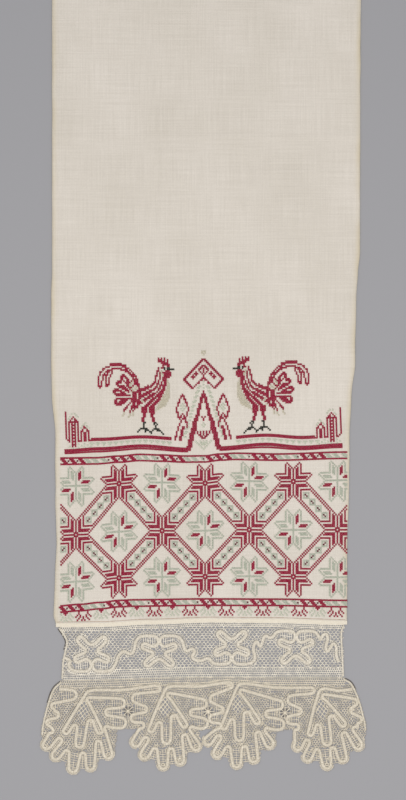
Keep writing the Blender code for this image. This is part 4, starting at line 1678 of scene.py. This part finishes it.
def clear_of_openings(place):
    """True where a place lies outside every wheel and every patch of diamonds."""
    if any((place - wheel).length < WHEEL_RADIUS + 0.4 for wheel in wheel_centres):
        return False
    return all((place - hole).length > DIAMOND_PITCH * 0.6 for hole in open_places)


# %% [markdown]
# ## Bars across the bends
#
# Inside every lobe, petal and finger the lacemaker throws short bars from one run of the tape
# to the other, like the rungs of a ladder. To find them, a line is drawn out from the middle
# of each bend, back between its two runs, and at every step the tape is looked for on both
# sides. Where it is close enough on both, there is a bar. A thread across their middles
# holds the long ones together.

# %% Throw the bars
BAR_PITCH = 2.8
BAR_STEPS = 8
# Widest reach of a bar that has no thread across its middle
SPINE_FROM = 2.6
BAR_ROOM = 8.5
BAR_HEIGHT = 0.75
# Share of a bend's radius at which its first bar lies
FIRST_BAR = 0.35
# Shares of the braid's width: least reach of a bar, and how far it goes in under the tape
LEAST_REACH = 0.3
TUCK = 0.25


def reach_of(place, way, starts, runs):
    """Distance from a place along a direction to the nearest run of tape, or None."""
    offset = starts - np.array(place[:2])
    cross = way.x * runs[:, 1] - way.y * runs[:, 0]
    cross = np.where(np.abs(cross) < 1e-9, 1e-9, cross)
    along = (offset[:, 0] * runs[:, 1] - offset[:, 1] * runs[:, 0]) / cross
    share = (offset[:, 0] * way.y - offset[:, 1] * way.x) / cross
    hits = along[(share >= 0.0) & (share <= 1.0) & (along > 0.4)]
    return float(hits.min()) if hits.size else None


def bars_of(lace):
    """The bars of a lace, each as its two ends, and the threads across their middles."""
    lines = [lace_lines[lace]] + side_tapes[lace]
    pairs = [(a, b) for line in lines for a, b in zip(line, line[1:])]
    starts = np.array([a[:2] for a, _ in pairs])
    runs = np.array([(b - a)[:2] for a, b in pairs])
    bars, spines = [], []
    for middle, radius, facing in bends_met[lace]:
        ahead = towards(facing)
        spine = []
        side = Vector((-ahead.y, ahead.x))
        for step in range(BAR_STEPS):
            place = middle + ahead * (radius * FIRST_BAR - step * BAR_PITCH)
            left = reach_of(place, side, starts, runs)
            right = reach_of(place, -side, starts, runs)
            if left is None or right is None or max(left, right) > BAR_ROOM:
                break
            if min(left, right) > LEAST_REACH * BRAID_WIDTH:
                tuck = TUCK * BRAID_WIDTH
                start, end = place + side * (left - tuck), place - side * (right - tuck)
                if lace == "insertion" or all(
                        clear_of_openings(start.lerp(end, share / 4)) for share in range(5)):
                    bars.append((start, end))
                    if left + right > 2 * SPINE_FROM:
                        spine.append(start.lerp(end, 0.5))
        if len(spine) > 1:
            spines.append(spine)
    return bars, spines


bars, spines = {}, {}
for lace in lace_lines:
    bars[lace], spines[lace] = bars_of(lace)
print("bars:", {lace: len(found) for lace, found in bars.items()})


def near_tree(places):
    """A search tree of places in the plane."""
    tree = kdtree.KDTree(len(places))
    for number, place in enumerate(places):
        tree.insert((place.x, place.y, 0.0), number)
    tree.balance()
    return tree


def far_from(tree, place, distance):
    """True where no place of the search tree is within the distance."""
    return tree.find((place.x, place.y, 0.0))[2] > distance


def evenly(line, step):
    """Places at even distances along a line, each with the direction there."""
    found, left = [], 0.0
    for start, end in zip(line, line[1:]):
        run = (end - start).length
        while left < run:
            found.append((start.lerp(end, left / run), (end - start).normalized()))
            left += step
        left -= run
    return found


# %% [markdown]
# ## A footing beside the tape
#
# The net isn't sewn straight to the tape. A footing thread runs beside it, tied to it about
# every two millimetres, so a row of little dark holes follows the tape. It is left out in the
# bends that bars already fill.

# %% Lay the footing
FOOTING = 1.75
FOOTING_STEP = 2.25
# Least distance of a tie from the nearest bar
FROM_BARS = 1.1


def footing_of(lace, outline):
    """Ties from the tape's edge outwards, and the thread that joins their ends."""
    line = lace_lines[lace]
    bar_places = [a.lerp(b, step / 6) for a, b in bars[lace] for step in range(7)]
    barred = near_tree(bar_places)
    taped = near_tree([place for place, _ in evenly(line, 0.6)])
    ties, threads = [], []
    for side in (-1.0, 1.0):
        thread = []
        for place, along in evenly(line, FOOTING_STEP):
            out = Vector((-along.y, along.x)) * side
            end = place + out * (BRAID_WIDTH / 2 + FOOTING)
            free = far_from(taped, end, BRAID_WIDTH / 2 + FOOTING * 0.6) and inside(end, outline)
            clear = lace == "insertion" or clear_of_openings(end)
            if free and clear and far_from(barred, end, FROM_BARS):
                ties.append((place + out * BRAID_WIDTH * 0.4, end))
                thread.append(end)
            else:
                if len(thread) > 1:
                    threads.append(thread)
                thread = []
        if len(thread) > 1:
            threads.append(thread)
    return ties, threads


lace_edges = {"insertion": insertion_edge, "edging": edging_edge}
footings = {lace: footing_of(lace, lace_edges[lace]) for lace in lace_lines}
print("ties:", {lace: len(found[0]) for lace, found in footings.items()})

# %% [markdown]
# ## The net
#
# The ground is a net of small cells in staggered rows, like bricks: each is a six-sided hole
# whose thread it shares with its neighbours. Only the sides that lie inside the outline,
# away from the tape, the bars, the wheels and the diamonds, are kept. Corners are moved a
# little at random, from a fixed seed, because it was worked by hand. It stops short of the
# band and of the seam between the laces.

# %% Lay out the net
rough = random.Random(5)
ROW_STEP = 2.75
UPRIGHT_STEP = 2.5
BAND_ROWS = 2
BAND_ROW_STEP = 2.2
SEAM_ROWS_ABOVE = 4
SEAM_ROWS_BELOW = 3
# Cells of each net: width, row spacing, share of a row that is a straight side
NETS = {"insertion": (4.7, 2.9, 0.26), "edging": (3.3, 2.5, 0.25)}


def under_band(across):
    """Height of the joining band's lower edge."""
    return wave(across) - BAND_WIDTH / 2


def net_sides(lace, outline, keep_out):
    """The sides of all cells of a net, as pairs of places."""
    width, row_step, upright = NETS[lace]
    low_x, high_x = min(p.x for p in outline), max(p.x for p in outline)
    low_y, high_y = min(p.y for p in outline), max(p.y for p in outline)
    corner_up = row_step * upright
    moved = {}

    def corner(x, y):
        key = (round(x, 2), round(y, 2))
        if key not in moved:
            moved[key] = Vector((x + rough.uniform(-0.42, 0.42), y + rough.uniform(-0.34, 0.34)))
        return moved[key]

    sides = []
    rows = math.ceil((high_y - low_y) / row_step) + 1
    columns = math.ceil((high_x - low_x) / width) + 1
    for row in range(rows):
        up = low_y + row * row_step
        for column in range(columns):
            across = low_x + (column + 0.5 * (row % 2)) * width
            foot = corner(across, up - row_step + corner_up)
            left = corner(across - width / 2, up - corner_up)
            right = corner(across + width / 2, up - corner_up)
            top = corner(across + width / 2, up + corner_up)
            for start, end in ((foot, left), (foot, right), (right, top)):
                middle = (start + end) / 2
                open_net = NET_FLOOR[lace](middle.x) < middle.y < NET_TOP[lace](middle.x)
                if open_net and inside(middle, outline) and all(
                        far_from(tree, middle, distance) for tree, distance in keep_out):
                    sides.append((start, end))
    return sides


# Where the net starts and stops: the rest is worked in close rows
NET_TOP = {
    "insertion": lambda across: under_band(across) - BAND_ROWS * BAND_ROW_STEP + 0.6,
    "edging": lambda across: seam(across) - SEAM_ROWS_BELOW * ROW_STEP,
}
NET_FLOOR = {
    "insertion": lambda across: seam(across) + SEAM_ROWS_ABOVE * ROW_STEP,
    "edging": lambda across: -250.0,
}

net_lines = {}
for lace, outline in lace_edges.items():
    bar_places = [a.lerp(b, (step + 0.5) / 5) for a, b in bars[lace] for step in range(5)]
    taped = [place for place, _ in evenly(lace_lines[lace], 1.0)]
    tied = [start.lerp(end, 0.75) for start, end in footings[lace][0]]
    keep_out = [(near_tree(bar_places), BAR_PITCH * 0.6), (near_tree(tied), FOOTING * 0.8),
                (near_tree(taped), BRAID_WIDTH * 0.4)]
    if lace == "edging":
        keep_out.append((near_tree(wheel_centres), WHEEL_RADIUS))
        keep_out.append((near_tree(open_places), DIAMOND_PITCH * 0.62))
    net_lines[lace] = net_sides(lace, outline, keep_out)
print("net sides:", {lace: len(found) for lace, found in net_lines.items()})

# %% [markdown]
# ## Rows that run along the edges
#
# Where lace is sewn to something it is worked closer: two rows of little ladder holes under
# the cream band, and several along the seam between the two laces. They are threads that
# follow the band or the seam, with short upright ones between them.

# %% Lay out the close rows


def close_rows(line_at, count, start, end, step):
    """Threads that follow a line, with uprights between them. step is down or up."""
    threads = []
    spots = math.ceil((end - start) / UPRIGHT_STEP)
    for row in range(count + 1):
        places = [start + (end - start) * n / (spots * 2) for n in range(spots * 2 + 1)]
        threads.append([Vector((x, line_at(x) + row * step + rough.uniform(-0.15, 0.15)))
                        for x in places])
        if row < count:
            for spot in range(spots):
                x = start + (spot + 0.5 * (row % 2) + rough.uniform(-0.1, 0.1)) * UPRIGHT_STEP
                foot = line_at(x) + row * step
                threads.append([Vector((x, foot)), Vector((x, foot + step))])
    return threads


close_threads = {
    "insertion": close_rows(under_band, BAND_ROWS, -172.0, 171.0, -BAND_ROW_STEP)
    + close_rows(lambda x: seam(x) + 0.6, SEAM_ROWS_ABOVE, -169.0, 169.5, ROW_STEP),
    "edging": close_rows(lambda x: seam(x) - 0.6, SEAM_ROWS_BELOW, -172.0, 173.0, -ROW_STEP),
}
print("close rows:", {lace: len(found) for lace, found in close_threads.items()})

# %% [markdown]
# ## Wheels and diamonds
#
# Between the fans sits a wheel: eight spokes from a small woven middle, with wide open wedges
# between. The palm of each fan has a patch of open diamonds. Their threads are whipped, so
# they are thicker than the net's.

# %% Lay out the wheels and the diamonds
# A spoke: where it starts and how far it runs past the wheel
SPOKE_START = 0.5
SPOKE_PAST = 1.2
MIDDLE_RINGS = (0.7, 1.2)
# An open wedge: half its angle and its distance from the hub, at its inner and outer end
WEDGE_ENDS = ((6.0, 2.2), (13.0, WHEEL_RADIUS - 1.1))
PIN_HOLE = 0.55
PIN_RING = 1.75


def ring_at(centre, radius, sides=12):
    """A closed ring of thread."""
    return [centre + towards(turn * 360.0 / sides, radius) for turn in range(sides + 1)]


def wheel_threads(centre):
    """Spokes and woven middle of a wheel."""
    threads = []
    for number in range(SPOKES):
        way = towards(number * 360.0 / SPOKES + rough.uniform(-3.0, 3.0))
        threads.append([centre + way * SPOKE_START, centre + way * (WHEEL_RADIUS + SPOKE_PAST)])
    return threads + [ring_at(centre, radius, sides=24) for radius in MIDDLE_RINGS]


def wedge_edges(centre):
    """The inner walls of the open wedges of a wheel, low down, coloured dark as painted shade."""
    walls = []
    (near_half, near), (far_half, far) = WEDGE_ENDS
    for number in range(SPOKES):
        way = (number + 0.5) * 360.0 / SPOKES
        corners = [towards(way - near_half, near), towards(way - far_half, far),
                   towards(way + far_half, far), towards(way + near_half, near)]
        walls.append([centre + corner for corner in corners + corners[:1]])
    return walls


def diamond_sides(centre, lean):
    """The four sides of an open diamond, as one closed thread."""
    corners = ((0.0, 1.0), (-1.0, 0.0), (0.0, -1.0), (1.0, 0.0), (0.0, 1.0))
    return [centre + turned(Vector((x * DIAMOND_PITCH / 2, y * DIAMOND_ROW)), lean)
            for x, y in corners]


# The side edges are turned under in places, where the lace looks brown; a dark thread along
# them is painted shadow of the turned edge. Some lobes have a pin hole in their round end, with
# a dark ring in it as painted shade: fan, lobe
PIN_HOLES = ((0, 4), (1, 2), (1, 3), (1, 4), (2, 1), (2, 3), (3, 2))
whipped = [diamond_sides(centre, lean) for centre, lean in diamond_centres()]
# Dark threads laid low in the wedges, pin holes and turned edges are painted shade
dark_shade_threads = []
for centre in wheel_centres:
    whipped += wheel_threads(centre)
    dark_shade_threads += wedge_edges(centre)
for turned_in, inside_by in ((EDGING_LEFT[:4], -0.7), (EDGING_RIGHT[:3], 0.7),
                             (INSERTION_LEFT[:3], -0.7)):
    line = curve_through([Vector(place) for place in turned_in], LONGEST_STEP, WIDEST_BEND)
    dark_shade_threads.append(beside(line, inside_by))
for fan, lobe in PIN_HOLES:
    dark_shade_threads.append(ring_at(lobe_centres(fan)[lobe], PIN_HOLE))
    whipped.append(ring_at(lobe_centres(fan)[lobe], PIN_RING))
print("whipped threads:", len(whipped))

# %% [markdown]
# ## Threads as thin tubes
#
# Net, bars, rows and wheels are all thread, so one tree makes them: it turns the edges of a
# mesh into curves and sweeps a small four-sided section along them. Each kind has its own
# thickness. Most of the net is worked with two threads side by side. The lower one is thinner,
# and its dark brown colour is painted shade. The dark threads in the wheels' wedges, in the pin
# holes and along the turned-under edges are painted shade as well.

# %% Build the thread tree and grow the lace
THREAD_SIZES = {"net": 0.98, "bars": 1.05, "footing": 0.85, "rows": 0.95, "whipped": 1.35,
                "dark shade threads": 0.9, "under threads": 0.5}
# The second thread of each pair lies lower and a little to the side
UNDER_HEIGHT = 0.4
BESIDE = Vector((0.5, -0.45))
# As far as this, the insertion's net also gets the dark under threads of painted shade
UNDER_THREADS_UNTIL = -146.0
DARK_SHADE_HEIGHT = 0.62
NET_HEIGHT = 0.67
ROWS_HEIGHT = NET_HEIGHT + 0.1
WHIPPED_HEIGHT = NET_HEIGHT + 0.35
# Size of the patches in which the thread runs thin or thick, and its thickness there
UNEVEN = 7.0 * MM
THIN = 0.68
THICK = 1.32


def thread_tree():
    """A tree that sweeps a thin thread along the edges of its mesh, thick and thin by turns."""
    tree, given, out = new_tree("thread", {
        "Caps": "NodeSocketBool", "Material": "NodeSocketMaterial"})
    section = add(tree, "GeometryNodeCurvePrimitiveCircle", {"Resolution": 4, "Radius": 0.5})
    line = add(tree, "GeometryNodeMeshToCurve", {"Mesh": given["Geometry"]})
    spread = add(tree, "ShaderNodeVectorMath", {
        0: add(tree, "GeometryNodeInputPosition").outputs[0], 1: (1 / UNEVEN, 1 / UNEVEN, 1.0)},
        operation="MULTIPLY")
    patches = add(tree, "ShaderNodeTexNoise", {"Vector": spread.outputs[0], "Scale": 1.0})
    feeds = {"Value": patches.outputs[0], "From Min": 0.35, "From Max": 0.65, "To Min": THIN,
             "To Max": THICK}
    swell = add(tree, "ShaderNodeMapRange", feeds)
    asked = add(tree, "GeometryNodeInputNamedAttribute", {"Name": "thickness"}, data_type="FLOAT")
    radius = maths(tree, "MULTIPLY", asked.outputs[0], swell.outputs[0])
    uneven = add(tree, "GeometryNodeSetCurveRadius", {
        "Curve": line.outputs[0], "Radius": radius})
    tube = add(tree, "GeometryNodeCurveToMesh", {
        "Curve": uneven.outputs[0], "Profile Curve": section.outputs[0],
        "Fill Caps": given["Caps"]})
    follow_radius(tree, tube, radius)
    return close_tree(tree, tube.outputs[0], given, out)


def thread_piece(name, kinds, material):
    """A piece of threads. A kind is its lines, the height of flat ones, and how thick."""
    mesh = lines_mesh(name, [line for lines, height, _ in kinds
                             for line in raised(lines, height)])
    thick = [size * MM for lines, _, size in kinds for line in lines for _ in line]
    layer = mesh.attributes.new("thickness", "FLOAT", "POINT")
    layer.data.foreach_set("value", thick)
    return grow(name, single_thread, mesh, caps=True, material=material)


single_thread = thread_tree()
lace_pieces = {}
insertion_net_with_under_threads = [line for line in net_lines["insertion"] if line[0][0] < UNDER_THREADS_UNTIL]
# The under threads' dark brown colour is painted shade below the net
under_shade_finish = thread_finish("linen thread, painted shade", "#5F523F", "#7D6F5A", 1.2)
for lace in lace_lines:
    ties, footing_threads = footings[lace]
    lace_pieces[lace + "_net"] = thread_piece(lace + "_net", (
        (net_lines[lace], NET_HEIGHT, THREAD_SIZES["net"]),
        (close_threads[lace], ROWS_HEIGHT, THREAD_SIZES["rows"]),
        (ties + footing_threads, BAR_HEIGHT, THREAD_SIZES["footing"]),
        (bars[lace] + spines[lace], BAR_HEIGHT, THREAD_SIZES["bars"]),
    ), net_finishes[lace])
    paired = insertion_net_with_under_threads if lace == "insertion" else (
        net_lines[lace] + footing_threads + spines[lace] + bars[lace])
    under = [[place + BESIDE for place in line] for line in paired]
    lace_pieces[lace + "_under_threads"] = thread_piece(lace + "_under_threads", (
        (under, UNDER_HEIGHT, THREAD_SIZES["under threads"]),
    ), under_shade_finish)
lace_pieces["edging_whipped"] = thread_piece("edging_whipped", (
    (whipped, WHIPPED_HEIGHT, THREAD_SIZES["whipped"]),
), net_finishes["edging"])
# Dark brown threads in the wedges, pin holes and turned edges: painted shade
lace_pieces["edging_low_walls"] = thread_piece("edging_low_walls", (
    (dark_shade_threads, DARK_SHADE_HEIGHT, THREAD_SIZES["dark shade threads"]),
), thread_finish("linen thread, dark painted shade", "#3A322A", "#5A4F43", 1.2))

# %% [markdown]
# ## Picots
#
# The free edge of the scallops carries picots, small loops of thread a couple of millimetres
# apart. The tree walks along the round end of each lobe, sets an open ring on every step, and
# turns it to stand outwards.

# %% Build the picot tree and edge the scallops
PICOT_PITCH = 2.3
PICOT_SIZE = 1.9
PICOT_THREAD = 0.8
PICOT_HEIGHT = 0.9
PICOT_OUT = 0.35


def picot_tree():
    """A tree that sets open rings along the lines of its mesh."""
    tree, given, out = new_tree("picots", {
        "Pitch": "NodeSocketFloat", "Size": "NodeSocketFloat", "Thickness": "NodeSocketFloat",
        "Material": "NodeSocketMaterial"})
    edge = add(tree, "GeometryNodeMeshToCurve", {"Mesh": given["Geometry"]})
    even = add(tree, "GeometryNodeResampleCurve", {
        "Curve": edge.outputs[0], "Length": given["Pitch"]}, mode="LENGTH")
    half = maths(tree, "MULTIPLY", given["Size"], 0.5)
    ring = add(tree, "GeometryNodeCurveArc", {
        "Resolution": 6, "Radius": half, "Start Angle": math.radians(-215.0),
        "Sweep Angle": math.radians(250.0)}, mode="RADIUS")
    radius = maths(tree, "MULTIPLY", given["Thickness"], 0.5)
    section = add(tree, "GeometryNodeCurvePrimitiveCircle", {
        "Resolution": 4, "Radius": radius})
    loop = add(tree, "GeometryNodeCurveToMesh", {
        "Curve": ring.outputs[0], "Profile Curve": section.outputs[0]})
    along = add(tree, "GeometryNodeInputTangent")
    facing = add(tree, "FunctionNodeAlignRotationToVector", {"Vector": along.outputs[0]},
                 axis="X", pivot_axis="Z")
    placed = add(tree, "GeometryNodeInstanceOnPoints", {
        "Points": even.outputs[0], "Instance": loop.outputs[0], "Rotation": facing.outputs[0]})
    return close_tree(tree, placed.outputs[0], given, out)


tip_lines = [lobe_arc(number, lobe, LOBE_RADIUS + BRAID_WIDTH / 2 + PICOT_OUT)
             for number in range(len(FANS)) for lobe in range(len(LOBES))]
picots = grow("edging_picots", picot_tree(),
              lines_mesh("picots", raised(tip_lines, PICOT_HEIGHT)),
              pitch=PICOT_PITCH * MM, size=PICOT_SIZE * MM, thickness=PICOT_THREAD * MM,
              material=net_finishes["edging"])

# %% [markdown]
# ## The plain laces hidden
#
# A lace is made of many pieces: its net, tapes, threads and picots take the place of the plain
# solid, which is hidden. The pieces besides the net are gathered, and the area inside the
# outline above is worked out, but neither is used further.

# %% Hide the plain laces
for lace, outline in lace_edges.items():
    net = lace_pieces[lace + "_net"]
    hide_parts("lace_" + lace)
    others = [piece for name, piece in lace_pieces.items()
              if name.startswith(lace) and piece is not net] + lace_tapes[lace]
    if lace == "edging":
        others.append(picots)
    area_inside(outline) * MM * MM

# %% [markdown]
# ## The cream joining band
#
# A flat band of cream cotton covers the seam of cloth and lace. It is a strip of points
# across the towel, domed a little, that follows the wave of the seam. Fine ribs run across
# it, because it is a narrow woven tape.

# %% Make the joining band
BAND_COLUMNS = 420
BAND_RIB = 0.05
# Profile of the band: share of its width from its middle line, height
BAND_PROFILE = ((-0.5, 0.35), (-0.46, 1.25), (-0.36, 1.6), (0.0, 1.75), (0.36, 1.62),
                (0.46, 1.35), (0.5, 0.4), (0.3, 0.3), (-0.3, 0.3))


def band_mesh():
    """The joining band: its profile at every step across the towel, and two closed ends."""
    places, faces = [], []
    count = len(BAND_PROFILE)
    for step in range(BAND_COLUMNS + 1):
        across = BAND_LEFT + (BAND_RIGHT - BAND_LEFT) * step / BAND_COLUMNS
        rib = BAND_RIB * (step % 2) + 0.12 * noise.noise(Vector((across / 9.0, 0.0, 4.0)))
        middle = wave(across) + 0.2 * noise.noise(Vector((across / 14.0, 2.0, 0.0)))
        for share, height in BAND_PROFILE:
            lift = rib if height > 1.0 else 0.0
            places.append((across, middle + share * BAND_WIDTH, height + lift))
    for step in range(BAND_COLUMNS):
        for spot in range(count):
            corner, other = step * count + spot, step * count + (spot + 1) % count
            faces.append((corner, corner + count, other + count, other))
    faces.append(tuple(range(count)))
    faces.append(tuple(reversed(range(BAND_COLUMNS * count, (BAND_COLUMNS + 1) * count))))
    return mesh_of("joining_band", places, faces=faces)


joining_band = object_of("joining_band", band_mesh())
joining_band.data.shade_smooth()
# The band's thread finish paints shade on its low edges
joining_band.data.materials.append(thread_finish("cream cotton tape", "#CDC3B0", "#E0D7C6", 1.4))
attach(joining_band, "root")
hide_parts("joining_tape")

# %% [markdown]
# ## The sewing thread above the band, and the hem
#
# Just above the band a brown thread runs along the seam, where the band was stitched down.
# At the far end the cloth is folded over into a narrow hem, held by a row of small stitches.
# Both are threads that lie on the cloth, so the thread tree makes them too.

# %% Sew the seam and the hem
SEAM_THREAD = 0.55
HEM_THREAD = 0.6
HEM_STITCH = 2.4
HEM_PITCH = 3.8
THREAD_LIFT = 0.1
# Bare cloth left at each end of the seam thread and of the hem's stitches
SEAM_END = 2.0
HEM_END = 3.0

seam_line = []
for step in range(int(BAND_RIGHT - BAND_LEFT) - 3):
    across = BAND_LEFT + SEAM_END + step
    seam_line.append(on_cloth(across, wave(across) + BAND_WIDTH / 2 + 1.0, THREAD_LIFT))
hem_at = CLOTH_LENGTH - HEM_DEPTH + 1.4
hem_left, hem_right = SIDES[-1][1] + HEM_END, SIDES[-1][2] - HEM_END
hem_lines = []
for number in range(int((hem_right - hem_left) / HEM_PITCH)):
    start = hem_left + number * HEM_PITCH
    hem_lines.append([on_cloth(place, hem_at, THREAD_LIFT) for place in
                      (start, start + HEM_STITCH)])
seam_thread = thread_piece("seam_thread", (([seam_line], 0.0, SEAM_THREAD),),
                           cotton_finish("brown sewing", "#9C7E68", "#B89C84"))
hem_thread = thread_piece("hem_stitches", ((hem_lines, 0.0, HEM_THREAD),),
                          cotton_finish("undyed sewing", "#C9C1AF", "#DAD3C3"))
print("joining band:", len(joining_band.data.polygons), "faces")

# %% [markdown]
# ## Floor
#
# The towel lies on a plain mat paper of middle grey, which sets the pale cloth off.

# %% Lay the floor
FLOOR = 6.0
FLOOR_UP = -0.0001
floor_mesh = bpy.data.meshes.new("floor")
corners = [(x * FLOOR, y * FLOOR, FLOOR_UP) for x, y in ((-1, -1), (1, -1), (1, 1), (-1, 1))]
floor_mesh.from_pydata(corners, [], [(0, 1, 2, 3)])
floor = object_of("floor", floor_mesh)
floor_finish, _, floor_shader, _ = new_finish("mat grey paper", 0.95, 0.0)
floor_shader.inputs["Base Color"].default_value = linear("#969597")
floor.data.materials.append(floor_finish)
